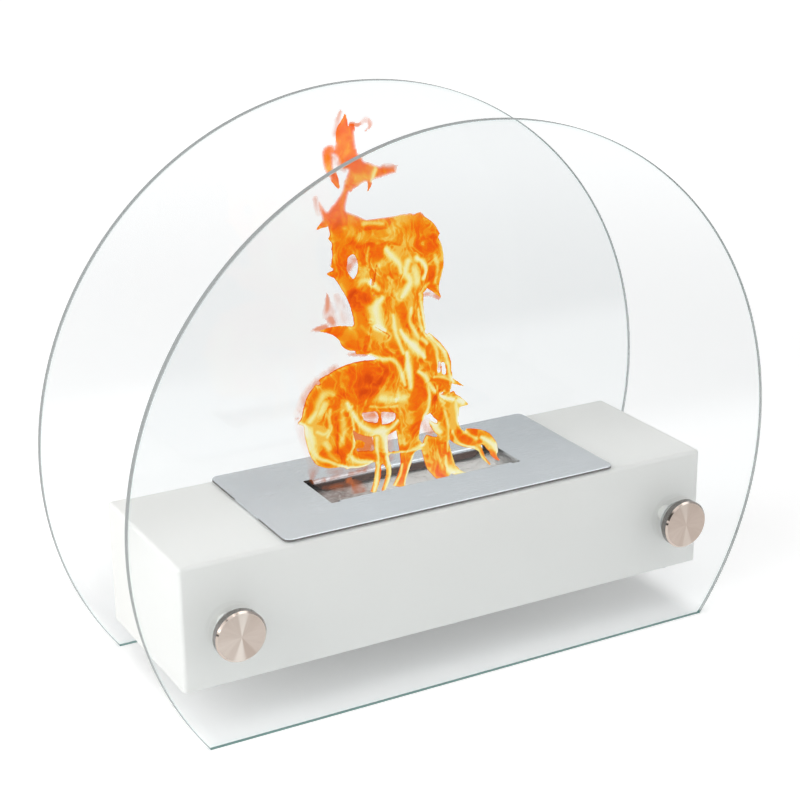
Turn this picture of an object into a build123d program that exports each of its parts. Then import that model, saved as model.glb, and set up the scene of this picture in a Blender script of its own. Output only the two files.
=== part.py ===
from build123d import *
from math import sqrt
import os

# A table-top bioethanol fireplace: a white folded steel housing hangs between two round
# glass panels on four stand-offs, and a lift-out burner drops into its top.
# Millimetres. X runs along the fireplace, -Y is the front, Z is up, and the origin lies
# on the table under the middle, between the flat bottom edges of the two panels.

# ---- Glass panels ----
glass_radius = 200.0
glass_centre_height = 118.5     # the disc is cut flat where it meets the table
glass_thickness = 4.0
glass_arris = 0.5               # ground edge along both faces

# ---- Housing, folded from one sheet and open below ----
housing_length = 336.0
housing_width = 103.0
housing_height = 72.4
housing_lift = 27.5             # its bottom edge above the table
housing_sheet = 1.2
housing_bend = 2.4              # outer radius of the folds
lip_width = 12.0                # inward fold along the bottom of each long wall
lip_end_gap = 1.0               # between a lip's end and the end wall

# ---- Base panel, screwed to the lips from below ----
panel_sheet = 1.0
panel_setback = 4.0             # from the housing's outer faces
panel_corner = 3.0
vent_length = 34.0
vent_width = 4.0
vent_pitch = 10.0
vent_columns = 3
vent_rows = 4
vent_column_gap = 14.0
screw_end_inset = 16.0          # from the panel's end to the first screw
screws_per_side = 3
screw_shank = 2.9
screw_length = 5.0
screw_head = 5.6
screw_head_height = 1.8
screw_head_round = 1.2
screw_clearance = 0.3           # radial, in the panel
screw_pilot_clearance = 0.05    # radial, in the lip

# ---- Stand-offs, one stack at each of four places ----
stud_inset = 25.0               # from the housing's end
stud_rise = 37.0                # from the housing's bottom edge
thread_diameter = 6.0
thread_clearance = 0.05         # radial, between a shank and its tapped bore
barrel_diameter = 10.0
barrel_length = 12.2
barrel_chamfer = 0.5
cap_diameter = 29.0
cap_thickness = 4.8
cap_bevel = 1.0
cap_engagement = 6.5            # length of the cap's stud inside the barrel
soft_washer_diameter = 23.0
soft_washer_bore = 6.5
inner_washer_thickness = 2.0    # between barrel and glass
outer_washer_thickness = 0.8    # between glass and cap
sleeve_wall = 1.7
sleeve_bore_clearance = 0.2     # radial, round the stud
sleeve_hole_clearance = 0.1     # radial, inside the hole in the glass
sleeve_end_gap = 0.1
bolt_engagement = 5.5           # length of the wall bolt inside the barrel
bolt_head_across_flats = 10.0
bolt_head_height = 4.0
bolt_chamfer = 0.5
bolt_hole_clearance = 0.3       # radial, in the wall and its washer
wall_washer_diameter = 18.0
wall_washer_thickness = 1.6

# ---- Fuel tank ----
tank_length = 186.0
tank_sheet = 0.8
tank_corner = 8.0
tank_floor_radius = 4.0
tank_floor_gap = 20.4           # under the tank, down to the housing's bottom edge
tank_clearance = 1.0            # round the tank in the housing's cut-out
rim_overhang = 6.5              # the rim's reach past the tank's wall
rim_setback = 0.6               # from the rim's edge to the start of the housing's fold

# ---- Ceramic wool ----
wool_clearance = 0.5
wool_below_rim = 10.7           # from the rim's top face down to the wool

# ---- Cover plate ----
plate_sheet = 1.5
plate_end_overlap = 6.3         # past the tank's rim at each end
plate_side_setback = 0.25       # from the housing's front and back faces
plate_corner = 4.5
plate_bevel = 0.4
slot_length = 124.0
slot_width = 30.0               # between the two folded flanges
flange_depth = 6.5
flange_bend = 1.0               # inner radius of the fold
flange_mitre = 6.0              # how far each end of a flange is cut back
relief_length = 5.5             # corner relief, from a flange's end to the slot's end
relief_past_bend = 1.0
relief_corner = 1.0

# ---- Locating brackets under the cover plate ----
bracket_width = 40.0
bracket_foot = 10.0
bracket_leg = 9.0
bracket_sheet = 1.0
bracket_bend = 1.0
bracket_clearance = 0.5         # between the leg and the tank's end wall

# ---- Making the cuts ----
cut_overrun = 1.0               # how far a cut runs past the sheet it goes through
same_place = 0.01               # two edges nearer than this are in one plane

# ---- Levels and places that follow ----
housing_top = housing_lift + housing_height
wall_face = housing_width / 2
stud_x = housing_length / 2 - stud_inset
stud_z = housing_lift + stud_rise
barrel_face = wall_face + barrel_length
glass_inner_face = barrel_face + inner_washer_thickness
glass_outer_face = glass_inner_face + glass_thickness
cap_seat = glass_outer_face + outer_washer_thickness
thread_bore = thread_diameter / 2
shank_radius = thread_bore - thread_clearance
sleeve_bore = shank_radius + sleeve_bore_clearance
sleeve_radius = sleeve_bore + sleeve_wall
glass_hole = sleeve_radius + sleeve_hole_clearance
bolt_hole = shank_radius + bolt_hole_clearance

rim_width = housing_width - 2 * (housing_bend + rim_setback)
rim_length = tank_length + 2 * rim_overhang
tank_width = rim_width - 2 * rim_overhang
tank_floor = housing_lift + tank_floor_gap
rim_top = housing_top + tank_sheet
wool_top = rim_top - wool_below_rim

plate_length = rim_length + 2 * plate_end_overlap
plate_width = housing_width - 2 * plate_side_setback
plate_under = rim_top
plate_top = plate_under + plate_sheet
relief_reach = slot_width / 2 + flange_bend + plate_sheet + relief_past_bend

panel_length = housing_length - 2 * panel_setback
panel_width = housing_width - 2 * panel_setback
panel_top = housing_lift
panel_bottom = panel_top - panel_sheet
screw_y = wall_face - lip_width / 2
screw_first_x = panel_length / 2 - screw_end_inset

SIDES = {"front": -1, "rear": 1}
ENDS = {"left": -1, "right": 1}


def block(length, width, low, high, corner=0.0):
    """A level block centred on the origin, with its upright edges rounded."""
    outline = Rectangle(length, width)
    if corner > 0:
        outline = fillet(outline.vertices(), corner)
    return Pos(0, 0, low) * extrude(outline, high - low)


def ring(radius, bore, near, far, side, x, z):
    """A round piece on a stand-off's axis, from near to far away from the middle plane."""
    disc = Circle(radius)
    if bore > 0:
        disc -= Circle(bore)
    solid = extrude(disc, far - near)
    return stand_off_place(near, side, x, z) * solid


def stand_off_place(reach, side, x, z):
    """A place on a stand-off's axis whose own +Z points away from the housing."""
    turn = Rot(90, 0, 0) if side < 0 else Rot(-90, 0, 0)
    return Pos(x, side * reach, z) * turn


def stand_off_places():
    """The name and the side, x and z of each of the four stand-offs."""
    for side_name, side in SIDES.items():
        for end_name, end in ENDS.items():
            yield f"{side_name}_{end_name}", side, end * stud_x, stud_z


def screw_places():
    """The x and y of each base screw: a row along each long lip."""
    step = 2 * screw_first_x / (screws_per_side - 1)
    for side in SIDES.values():
        for i in range(screws_per_side):
            yield -screw_first_x + i * step, side * screw_y


# ---- Housing ----

def bottom_lip():
    """The inward fold along the bottom of one long wall, at y above zero."""
    length = housing_length - 2 * (housing_sheet + lip_end_gap)
    middle = wall_face - lip_width / 2
    return Pos(0, middle, housing_lift + housing_sheet / 2) * Box(length, lip_width, housing_sheet)


def housing_shell():
    """One folded sheet: the top, four walls with soft folds, and a lip below each long wall."""
    body = Pos(0, 0, housing_lift + housing_height / 2) * Box(
        housing_length, housing_width, housing_height
    )
    bottom = body.faces().sort_by(Axis.Z)[0]
    folds = body.edges() - bottom.edges()
    body = fillet(folds, housing_bend)
    bottom = body.faces().sort_by(Axis.Z)[0]
    body = offset(body, -housing_sheet, openings=bottom)

    lip = bottom_lip()
    body += lip
    body += lip.mirror(Plane.XZ)

    body -= block(
        tank_length + 2 * tank_clearance,
        tank_width + 2 * tank_clearance,
        housing_top - housing_sheet - cut_overrun,
        housing_top + cut_overrun,
        tank_corner + tank_clearance,
    )
    for _, side, x, z in stand_off_places():
        inside = wall_face - housing_sheet - cut_overrun
        body -= ring(bolt_hole, 0, inside, wall_face + cut_overrun, side, x, z)
    pilot = screw_shank / 2 + screw_pilot_clearance
    pilot_cut = Cylinder(pilot, 2 * (housing_sheet + cut_overrun))
    for x, y in screw_places():
        body -= Pos(x, y, housing_lift) * pilot_cut
    return body


def base_panel():
    """The flat bottom cover, with rows of vents under the burner."""
    panel = block(panel_length, panel_width, panel_bottom, panel_top, panel_corner)
    hole = screw_shank / 2 + screw_clearance
    hole_cut = Cylinder(hole, 2 * (panel_sheet + cut_overrun))
    for x, y in screw_places():
        panel -= Pos(x, y, panel_top) * hole_cut
    column_step = vent_length + vent_column_gap
    vent = extrude(SlotOverall(vent_length, vent_width), panel_sheet + 2 * cut_overrun)
    vent = Pos(0, 0, panel_bottom - cut_overrun) * vent
    for column in range(vent_columns):
        for row in range(vent_rows):
            x = (column - (vent_columns - 1) / 2) * column_step
            y = (row - (vent_rows - 1) / 2) * vent_pitch
            panel -= Pos(x, y, 0) * vent
    return panel


def base_screws():
    """Pan-head screws up through the panel into the lips."""
    head = extrude(Circle(screw_head / 2), -screw_head_height)
    crown_rim = head.edges().filter_by(GeomType.CIRCLE).sort_by(Axis.Z)[0]
    screw = fillet(crown_rim, screw_head_round) + extrude(Circle(screw_shank / 2), screw_length)
    return [Pos(x, y, panel_bottom) * screw for x, y in screw_places()]


# ---- Glass panels and their stand-offs ----

def glass_panel(side):
    """A disc with a flat bottom edge, ground arrises and a hole for each stand-off."""
    half_foot = sqrt(glass_radius**2 - glass_centre_height**2)
    top = (0, glass_centre_height + glass_radius)
    outline = make_face(
        Line((-half_foot, 0), (half_foot, 0)) + ThreePointArc((half_foot, 0), top, (-half_foot, 0))
    )
    for end in ENDS.values():
        outline -= Pos(end * stud_x, stud_z) * Circle(glass_hole)
    panel = extrude(Plane.XZ * outline, glass_thickness / 2, both=True)
    face = glass_thickness / 2
    rims = [e for e in panel.edges() if abs(abs(e.center().Y) - face) < same_place]
    panel = chamfer(rims, glass_arris)
    middle = glass_inner_face + glass_thickness / 2
    return Pos(0, side * middle, 0) * panel


def barrel(side, x, z):
    """The spacer tube between the housing and the glass, tapped right through."""
    profile = Circle(barrel_diameter / 2) - Circle(thread_bore)
    tube = extrude(profile, barrel_length)
    rims = tube.edges().filter_by(GeomType.CIRCLE)
    outer = [e for e in rims if e.radius > thread_bore + barrel_chamfer]
    tube = chamfer(outer, barrel_chamfer)
    return stand_off_place(wall_face, side, x, z) * tube


def cap(side, x, z):
    """A bevelled disc with its own stud, turned from one piece."""
    disc = extrude(Circle(cap_diameter / 2), cap_thickness)
    face_rim = disc.edges().filter_by(GeomType.CIRCLE).sort_by(Axis.Z)[-1]
    disc = chamfer(face_rim, cap_bevel)
    stud_length = cap_seat - barrel_face + cap_engagement
    stud = extrude(Circle(shank_radius), -stud_length)
    return stand_off_place(cap_seat, side, x, z) * (disc + stud)


def outer_washer(side, x, z):
    """The clear washer between cap and glass, which stays on the cap's stud."""
    return ring(
        soft_washer_diameter / 2, soft_washer_bore / 2, glass_outer_face, cap_seat, side, x, z
    )


def inner_washers(side):
    """The clear washers between one glass panel and its two barrels."""
    return [
        ring(
            soft_washer_diameter / 2,
            soft_washer_bore / 2,
            barrel_face,
            glass_inner_face,
            side,
            end * stud_x,
            stud_z,
        )
        for end in ENDS.values()
    ]


def glass_sleeves(side):
    """The nylon sleeves that keep the studs off the two holes of one glass panel."""
    near = glass_inner_face + sleeve_end_gap
    far = glass_outer_face - sleeve_end_gap
    return [
        ring(sleeve_radius, sleeve_bore, near, far, side, end * stud_x, stud_z)
        for end in ENDS.values()
    ]


def wall_bolts():
    """Hexagon bolts from inside the housing into the barrels."""
    seat = wall_face - housing_sheet - wall_washer_thickness
    reach = wall_face + bolt_engagement - seat
    corner_radius = bolt_head_across_flats / sqrt(3)
    head = extrude(RegularPolygon(corner_radius, 6), -bolt_head_height)
    dome = Pos(0, 0, -bolt_head_height) * extrude(Circle(corner_radius), bolt_head_height)
    end_rim = dome.edges().filter_by(GeomType.CIRCLE).sort_by(Axis.Z)[0]
    head &= chamfer(end_rim, bolt_chamfer)
    bolt = head + extrude(Circle(shank_radius), reach)
    return [stand_off_place(seat, side, x, z) * bolt for _, side, x, z in stand_off_places()]


def wall_washers():
    """Steel washers under the bolts' heads."""
    far = wall_face - housing_sheet
    near = far - wall_washer_thickness
    return [
        ring(wall_washer_diameter / 2, bolt_hole, near, far, side, x, z)
        for _, side, x, z in stand_off_places()
    ]


# ---- Burner ----

def fuel_tank():
    """A deep tank with rounded corners that hangs by its flat rim in the housing's top."""
    tank = block(tank_length, tank_width, tank_floor, rim_top, tank_corner)
    floor_edges = tank.faces().sort_by(Axis.Z)[0].edges()
    tank = fillet(floor_edges, tank_floor_radius)
    mouth = tank.faces().sort_by(Axis.Z)[-1]
    tank = offset(tank, -tank_sheet, openings=mouth)
    rim = block(rim_length, rim_width, housing_top, rim_top, tank_corner)
    rim -= block(tank_length, tank_width, housing_top, rim_top, tank_corner)
    return tank + rim


def wool_pad():
    """The block of ceramic wool that fills the tank up to a little below the slot."""
    shrink = 2 * (tank_sheet + wool_clearance)
    pad = block(
        tank_length - shrink,
        tank_width - shrink,
        tank_floor + tank_sheet,
        wool_top,
        tank_corner - tank_sheet - wool_clearance,
    )
    floor_edges = pad.faces().sort_by(Axis.Z)[0].edges()
    return fillet(floor_edges, tank_floor_radius)


def slot_flange():
    """One long side of the slot, folded down through a right angle, at y above zero."""
    face = slot_width / 2
    back = face + plate_sheet
    outer_bend = flange_bend + plate_sheet
    bend_start = face + outer_bend
    level = plate_top - outer_bend
    foot = plate_top - flange_depth
    diagonal = outer_bend / sqrt(2)
    inner_diagonal = flange_bend / sqrt(2)
    outline = make_face(
        Line((relief_reach, plate_top), (bend_start, plate_top))
        + ThreePointArc(
            (bend_start, plate_top), (bend_start - diagonal, level + diagonal), (face, level)
        )
        + Polyline((face, level), (face, foot), (back, foot), (back, level))
        + ThreePointArc(
            (back, level), (bend_start - inner_diagonal, level + inner_diagonal), (bend_start, plate_under)
        )
        + Polyline((bend_start, plate_under), (relief_reach, plate_under), (relief_reach, plate_top))
    )
    half_run = slot_length / 2 - relief_length
    flange = extrude(Plane.YZ * outline, half_run, both=True)
    for end in ENDS.values():
        corner = make_face(
            Polyline(
                (end * half_run, level),
                (end * half_run, foot),
                (end * (half_run - flange_mitre), foot),
                close=True,
            )
        )
        flange -= extrude(Plane.XZ * corner, -relief_reach)
    return flange


def cover_plate():
    """The polished plate over the burner, its slot folded down along both long sides."""
    plate = block(plate_length, plate_width, plate_under, plate_top, plate_corner)
    plate = chamfer(plate.faces().sort_by(Axis.Z)[-1].edges(), plate_bevel)
    low = plate_under - cut_overrun
    high = plate_top + cut_overrun
    plate -= block(slot_length, 2 * relief_reach, low, high, relief_corner)
    flange = slot_flange()
    return plate + flange + flange.mirror(Plane.XZ)


def locating_bracket(end):
    """An angle welded under the plate, whose leg drops inside the tank's end wall."""
    leg_face = tank_length / 2 - tank_sheet - bracket_clearance
    foot_end = leg_face - bracket_foot
    outline = make_face(
        Polyline(
            (foot_end, plate_under),
            (leg_face, plate_under),
            (leg_face, plate_under - bracket_leg),
            (leg_face - bracket_sheet, plate_under - bracket_leg),
            (leg_face - bracket_sheet, plate_under - bracket_sheet),
            (foot_end, plate_under - bracket_sheet),
            close=True,
        )
    )
    bracket = extrude(Plane.XZ * outline, bracket_width / 2, both=True)
    upright = bracket.edges().filter_by(Axis.Y)
    outer_fold = upright.sort_by(Axis.X)[-2:].sort_by(Axis.Z)[-1]
    bracket = fillet(outer_fold, bracket_bend)
    if end < 0:
        bracket = bracket.mirror(Plane.YZ)
    return bracket


def all_parts():
    """Every node's name with its solid, or with its list of like solids."""
    parts = {
        "housing_shell": housing_shell(),
        "base_panel": base_panel(),
        "base_screws": base_screws(),
        "wall_bolts": wall_bolts(),
        "wall_washers": wall_washers(),
        "fuel_tank": fuel_tank(),
        "wool_pad": wool_pad(),
        "cover_plate": cover_plate(),
    }
    for side_name, side in SIDES.items():
        parts[f"{side_name}_glass"] = glass_panel(side)
        parts[f"{side_name}_inner_washers"] = inner_washers(side)
        parts[f"{side_name}_glass_sleeves"] = glass_sleeves(side)
    for place, side, x, z in stand_off_places():
        parts[f"{place}_barrel"] = barrel(side, x, z)
        parts[f"{place}_cap"] = cap(side, x, z)
        parts[f"{place}_cap_washer"] = outer_washer(side, x, z)
    for end_name, end in ENDS.items():
        parts[f"{end_name}_locating_bracket"] = locating_bracket(end)
    return parts


def main():
    """Write one STEP file for each node."""
    os.makedirs("parts", exist_ok=True)
    for name, shape in all_parts().items():
        if isinstance(shape, list):
            shape = Compound(children=shape)
        export_step(shape, f"parts/{name}.step")
        print(name, round(shape.volume), "mm3")


main()
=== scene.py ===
import math

import bmesh
import bpy
from mathutils import Matrix, Vector


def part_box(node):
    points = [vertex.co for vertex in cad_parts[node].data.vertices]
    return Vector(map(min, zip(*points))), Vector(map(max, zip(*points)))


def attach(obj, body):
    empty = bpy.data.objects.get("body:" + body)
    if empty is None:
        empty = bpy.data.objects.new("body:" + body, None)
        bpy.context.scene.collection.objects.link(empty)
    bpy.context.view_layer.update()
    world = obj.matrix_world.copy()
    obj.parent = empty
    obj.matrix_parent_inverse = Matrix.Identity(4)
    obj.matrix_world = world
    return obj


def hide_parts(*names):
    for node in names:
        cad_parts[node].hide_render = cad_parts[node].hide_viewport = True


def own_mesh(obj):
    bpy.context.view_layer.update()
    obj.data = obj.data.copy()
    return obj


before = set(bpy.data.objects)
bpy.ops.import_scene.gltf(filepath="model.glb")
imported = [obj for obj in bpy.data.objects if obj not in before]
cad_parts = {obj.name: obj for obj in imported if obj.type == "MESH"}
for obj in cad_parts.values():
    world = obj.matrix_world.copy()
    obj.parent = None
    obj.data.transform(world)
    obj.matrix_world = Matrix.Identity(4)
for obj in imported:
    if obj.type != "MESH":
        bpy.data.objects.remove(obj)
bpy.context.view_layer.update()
mm = 0.001
stands = [f"{side}_{end}" for side in ("front", "rear") for end in ("left", "right")]
print("frame loaded:", len(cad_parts), "nodes")


# node trees, for shaders and for geometry

class Wire:
    def __init__(self, tree, socket=None):
        self.tree = tree
        self.socket = socket

    def node(self, kind, settings=None, inputs=None, output=0):
        # a list of values goes into one socket that takes several links
        made = self.tree.nodes.new(kind)
        for name, value in (settings or {}).items():
            if name == "stops":
                fillRamp(made.color_ramp, value)
            else:
                setattr(made, name, value)
        for name, value in (inputs or {}).items():
            for item in value if isinstance(value, list) else [value]:
                if isinstance(item, Wire):
                    self.tree.links.new(item.socket, made.inputs[name])
                else:
                    made.inputs[name].default_value = item
        return Wire(self.tree, made.outputs[output] if made.outputs else None)

    def out(self, name):
        return Wire(self.tree, self.socket.node.outputs[name])

    def axis(self, name):
        return self.node("ShaderNodeSeparateXYZ", {}, {"Vector": self}).out(name)

    def math(self, operation, left, right=0.0):
        return self.node("ShaderNodeMath", {"operation": operation}, {0: left, 1: right})

    def clamp(self, low=0.0, high=1.0):
        return self.math("MAXIMUM", self.math("MINIMUM", self, high), low)

    def __add__(self, other):
        return self.math("ADD", self, other)

    def __radd__(self, other):
        return self.math("ADD", other, self)

    def __sub__(self, other):
        return self.math("SUBTRACT", self, other)

    def __rsub__(self, other):
        return self.math("SUBTRACT", other, self)

    def __mul__(self, other):
        return self.math("MULTIPLY", self, other)

    def __rmul__(self, other):
        return self.math("MULTIPLY", other, self)

    def __truediv__(self, other):
        return self.math("DIVIDE", self, other)

    def __rtruediv__(self, other):
        return self.math("DIVIDE", other, self)

    def __pow__(self, other):
        return self.math("POWER", self, other)

    def __neg__(self):
        return 0.0 - self

    def __abs__(self):
        return self.math("ABSOLUTE", self)


def fillRamp(ramp, stops):
    while len(ramp.elements) < len(stops):
        ramp.elements.new(1.0)
    for element, (place, colour) in zip(ramp.elements, stops):
        element.position = place
        element.color = colour


def smoothStep(value, low, high):
    limits = {"Value": value, "From Min": low, "From Max": high}
    return value.node("ShaderNodeMapRange", {"interpolation_type": "SMOOTHSTEP"}, limits)


def reachOf(across, up):
    return across.math("SQRT", across * across + up * up)


def combined(wire, x=0.0, y=0.0, z=0.0):
    return wire.node("ShaderNodeCombineXYZ", {}, {"X": x, "Y": y, "Z": z})


def vectorMath(wire, operation, first, second=(0, 0, 0)):
    number = "Scale" if operation == "SCALE" else 1
    output = "Value" if operation in ("LENGTH", "DOT_PRODUCT") else "Vector"
    return wire.node("ShaderNodeVectorMath", {"operation": operation}, {0: first, number: second}, output)


def noise(place, scale, detail=2.0, roughness=0.5, distortion=0.0, output=0):
    inputs = {"Vector": place, "Scale": scale, "Detail": detail}
    inputs.update({"Roughness": roughness, "Distortion": distortion})
    return place.node("ShaderNodeTexNoise", {}, inputs, output)


def blendColours(factor, first, second):
    return factor.node("ShaderNodeMix", {"data_type": "RGBA"}, {0: factor, 6: first, 7: second}, output=2)


# what the finishes share

def finishOf(name, build):
    made = bpy.data.materials.new(name)
    made.use_nodes = True
    made.node_tree.nodes.clear()
    surface = build(Wire(made.node_tree))
    surface.node("ShaderNodeOutputMaterial", {}, {"Surface": surface})
    return made


def objectPlace(wire, stretch=(1.0, 1.0, 1.0)):
    # millimetres, times a stretch along each axis
    raw = wire.node("ShaderNodeTexCoord").out("Object")
    return wire.node("ShaderNodeMapping", {}, {"Vector": raw, "Scale": tuple(s / mm for s in stretch)})


def axisOf(wire, name):
    return wire.node("ShaderNodeTexCoord").out("Object").axis(name) / mm


def facing(wire, axis):
    return abs(wire.node("ShaderNodeNewGeometry").out("Normal").axis(axis))


def attribute(wire, name):
    return wire.node("ShaderNodeAttribute", {"attribute_name": name}).out("Fac")


def bumped(wire, height, depth):
    return wire.node("ShaderNodeBump", {}, {"Height": height, "Distance": depth * mm, "Strength": 1.0})


def principled(wire, looks):
    return wire.node("ShaderNodeBsdfPrincipled", {}, looks)


def seeThrough(wire, colour, roughness, bend, weight=1.0):
    looks = {"Base Color": colour, "Roughness": roughness, "IOR": bend, "Transmission Weight": weight}
    return principled(wire, looks)


def glowing(wire, strength, colour=(1, 1, 1, 1)):
    return wire.node("ShaderNodeEmission", {}, {"Color": colour, "Strength": strength})


def mixShaders(wire, factor, first, second):
    return wire.node("ShaderNodeMixShader", {}, {0: factor, 1: first, 2: second})


# finishes

powderCoat = {
    "light": (0.852, 0.854, 0.832, 1),
    "dark": (0.832, 0.834, 0.81, 1),
    "roughness": 0.42,
    "roughnessSpread": 0.08,
    "peelDepth": 0.02,
}


def powderCoatSurface(wire):
    place = objectPlace(wire)
    cloud = noise(place, scale=0.02, detail=3.0)
    peel = noise(place, scale=1.1)
    grain = noise(place, scale=4.0, detail=1.0)
    return principled(wire, {
        "Base Color": blendColours(cloud, powderCoat["dark"], powderCoat["light"]),
        "Roughness": powderCoat["roughness"] + powderCoat["roughnessSpread"] * (grain - 0.5),
        "Normal": bumped(wire, peel, powderCoat["peelDepth"]),
        "Specular IOR Level": 0.5,
    })


polishedSteel = {
    "clean": (0.635, 0.665, 0.69, 1),
    "dull": (0.585, 0.615, 0.64, 1),
    "paintedDarkEdge": (0.13, 0.115, 0.11, 1),
    "edgeFacing": (0.5, 0.2),  # how far up a face looks where the painted dark reflection on the sides starts and where it is full
    "paintedSlotShade": (0.17, 0.115, 0.10, 1),
    "paintedSlotShadeTop": 100.6,
    "paintedSlotShadeFade": 1.2,
    "slotHalf": 16.2,
    "roughness": 0.2,
    "brushedRoughness": 0.08,
    "cloudRoughness": 0.04,
    "brushDepth": 0.002,
}


def polishedSteelSurface(wire):
    steel = polishedSteel
    cloud = noise(objectPlace(wire), scale=0.03, detail=3.0)
    brushed = noise(objectPlace(wire, (0.05, 4.0, 4.0)), scale=1.0)
    # painted shade: the slot's flanges get darker and browner further down
    depth = (steel["paintedSlotShadeTop"] - axisOf(wire, "Z")) / steel["paintedSlotShadeFade"]
    inSlot = (steel["slotHalf"] - abs(axisOf(wire, "Y"))).clamp()
    # painted reflection: the plate's sides are painted dark
    edge = smoothStep(facing(wire, "Z"), *steel["edgeFacing"]) * (1.0 - inSlot)
    colour = blendColours(cloud, steel["dull"], steel["clean"])
    colour = blendColours(edge, colour, steel["paintedDarkEdge"])
    rough = steel["roughness"] + steel["brushedRoughness"] * brushed + steel["cloudRoughness"] * cloud
    return principled(wire, {
        "Base Color": blendColours(depth.clamp() * inSlot, colour, steel["paintedSlotShade"]),
        "Metallic": 1.0,
        "Roughness": rough,
        "Normal": bumped(wire, brushed, steel["brushDepth"]),
    })


turnedSteel = {
    "bright": (1.0, 0.935, 0.86, 1),
    "dark": (0.60, 0.495, 0.43, 1),
    # painted shade: the cap's side is painted dark
    "paintedDarkSide": (0.28, 0.26, 0.25, 1),
    "pitch": 0.22,
    "grooveDepth": 0.004,
    "level": 0.25,
    "paintedShadeDrop": 0.4,  # painted shade: how far the level drops where the painted highlight wedges are weak
    "streaks": 0.3,
    "streakBend": 0.02,
    "roughness": 0.11,
    "faceRoughness": 0.19,
    "streakRoughness": 0.05,
    "faceFacing": (0.9, 0.99),
    "bevelFacing": (0.4, 0.6),
    # painted shade: the bevel is painted darker than the face
    "bevelPaintedLevel": 0.22,
    "paintedBevelShade": (40.0, 62.0),  # painted shade on the bevel, as angle and half width
    "paintedShadeDepth": 0.8,
    # painted highlights and shade: angle of each wedge and its half width in degrees, and how much it
    # brightens the face
    "paintedLightWedges": [
        (84.0, 17.0, 0.5),
        (262.0, 20.0, 0.5),
        (292.0, 20.0, -0.3),
        (45.0, 28.0, -0.08),
        (200.0, 34.0, 0.12),
    ],
    "leftEnd": (0.0, 1.0),  # how far the painted highlight wedges are turned, in degrees, and how strong they are; the right caps are painted darker
    "rightEnd": (14.0, 0.5),
}


def turnedSteelSurface(wire, centre, turn, strength):
    steel = turnedSteel
    across, up = axisOf(wire, "X") - centre.x, axisOf(wire, "Z") - centre.z
    reach = reachOf(across, up)
    angle = wire.math("ARCTAN2", up, across)
    grooves = wire.math("SINE", reach * (2 * math.pi / steel["pitch"]))
    streaks = noise(combined(wire, angle, steel["streakBend"] * reach), scale=5.0, detail=3.0)

    def paintedLightWedge(middle, half):
        away = wire.math("COSINE", angle - math.radians(middle + turn))
        return smoothStep(away, math.cos(math.radians(half)), 1.0)

    # painted highlights and shade on the face: the wedges, and a lower level where they are weak
    glow = steel["level"] - steel["paintedShadeDrop"] * (1.0 - strength) + steel["streaks"] * (streaks - 0.5)
    for middle, half, lift in steel["paintedLightWedges"]:
        glow = glow + lift * strength * paintedLightWedge(middle, half)
    outward = facing(wire, "Y")
    face = smoothStep(outward, *steel["faceFacing"])
    bevel = smoothStep(outward, *steel["bevelFacing"]) * (1.0 - face)
    level = glow.clamp() * face + steel["bevelPaintedLevel"] * (1.0 - face)
    colour = blendColours(level, steel["dark"], steel["bright"])
    # painted shade: part of the bevel is darkened towards the dark side colour
    bevelPaintedShade = steel["paintedShadeDepth"] * paintedLightWedge(*steel["paintedBevelShade"])
    rough = (steel["faceRoughness"] + steel["streakRoughness"] * streaks) * face
    return principled(wire, {
        "Base Color": blendColours((face + bevel * (1.0 - bevelPaintedShade)).clamp(), steel["paintedDarkSide"], colour),
        "Metallic": 1.0,
        "Roughness": steel["roughness"] + rough,
        "Normal": bumped(wire, grooves * face, steel["grooveDepth"]),
    })


plainSteel = {"dullShare": 0.86, "roughnessSpread": 0.12, "grainDepth": 0.004}


def plainSteelSurface(colour, roughness):
    def build(wire):
        cloud = noise(objectPlace(wire), scale=0.12, detail=3.0)
        grain = noise(objectPlace(wire), scale=3.0)
        dull = tuple(plainSteel["dullShare"] * c for c in colour[:3]) + (1,)
        return principled(wire, {
            "Base Color": blendColours(cloud, dull, colour),
            "Metallic": 1.0,
            "Roughness": roughness + plainSteel["roughnessSpread"] * (grain - 0.5),
            "Normal": bumped(wire, grain, plainSteel["grainDepth"]),
        })

    return build


glass = {
    "tint": (0.974, 0.986, 0.989, 1),
    "rimTint": (0.89, 0.96, 0.955, 1),
    "rimBand": 2.6,
    "edgeGlow": (0.84, 0.92, 0.91, 1),
    "edgeGrey": (0.41, 0.44, 0.44, 1),
    "footTeal": (0.015, 0.165, 0.145, 1),
    "footTop": (1.4, 0.6),  # heights where the foot's teal starts and where it is full
    "scatter": 0.62,
    "footScatter": 0.25,
    "radius": 200.0,
    "centreHeight": 118.5,
    "bend": 1.5,
    "smearRoughness": 0.008,
    "grindRoughness": (0.15, 0.1),
    "scatterRoughness": 0.5,
}


def throughForLamps(wire, shader, tint):
    # lamps reach what is behind the glass
    clear = wire.node("ShaderNodeBsdfTransparent", {}, {"Color": tint})
    return mixShaders(wire, wire.node("ShaderNodeLightPath").out("Is Shadow Ray"), shader, clear)


def glassFaceSurface(wire):
    smears = noise(objectPlace(wire), scale=0.05)
    height = axisOf(wire, "Z")
    reach = reachOf(axisOf(wire, "X"), height - glass["centreHeight"])
    nearRim = smoothStep(reach, glass["radius"] - glass["rimBand"], glass["radius"])
    nearFoot = smoothStep(height, glass["rimBand"], 0.0)
    tint = blendColours(wire.math("MAXIMUM", nearRim, nearFoot), glass["tint"], glass["rimTint"])
    shader = seeThrough(wire, tint, glass["smearRoughness"] * smears, glass["bend"])
    return throughForLamps(wire, shader, glass["tint"])


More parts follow.
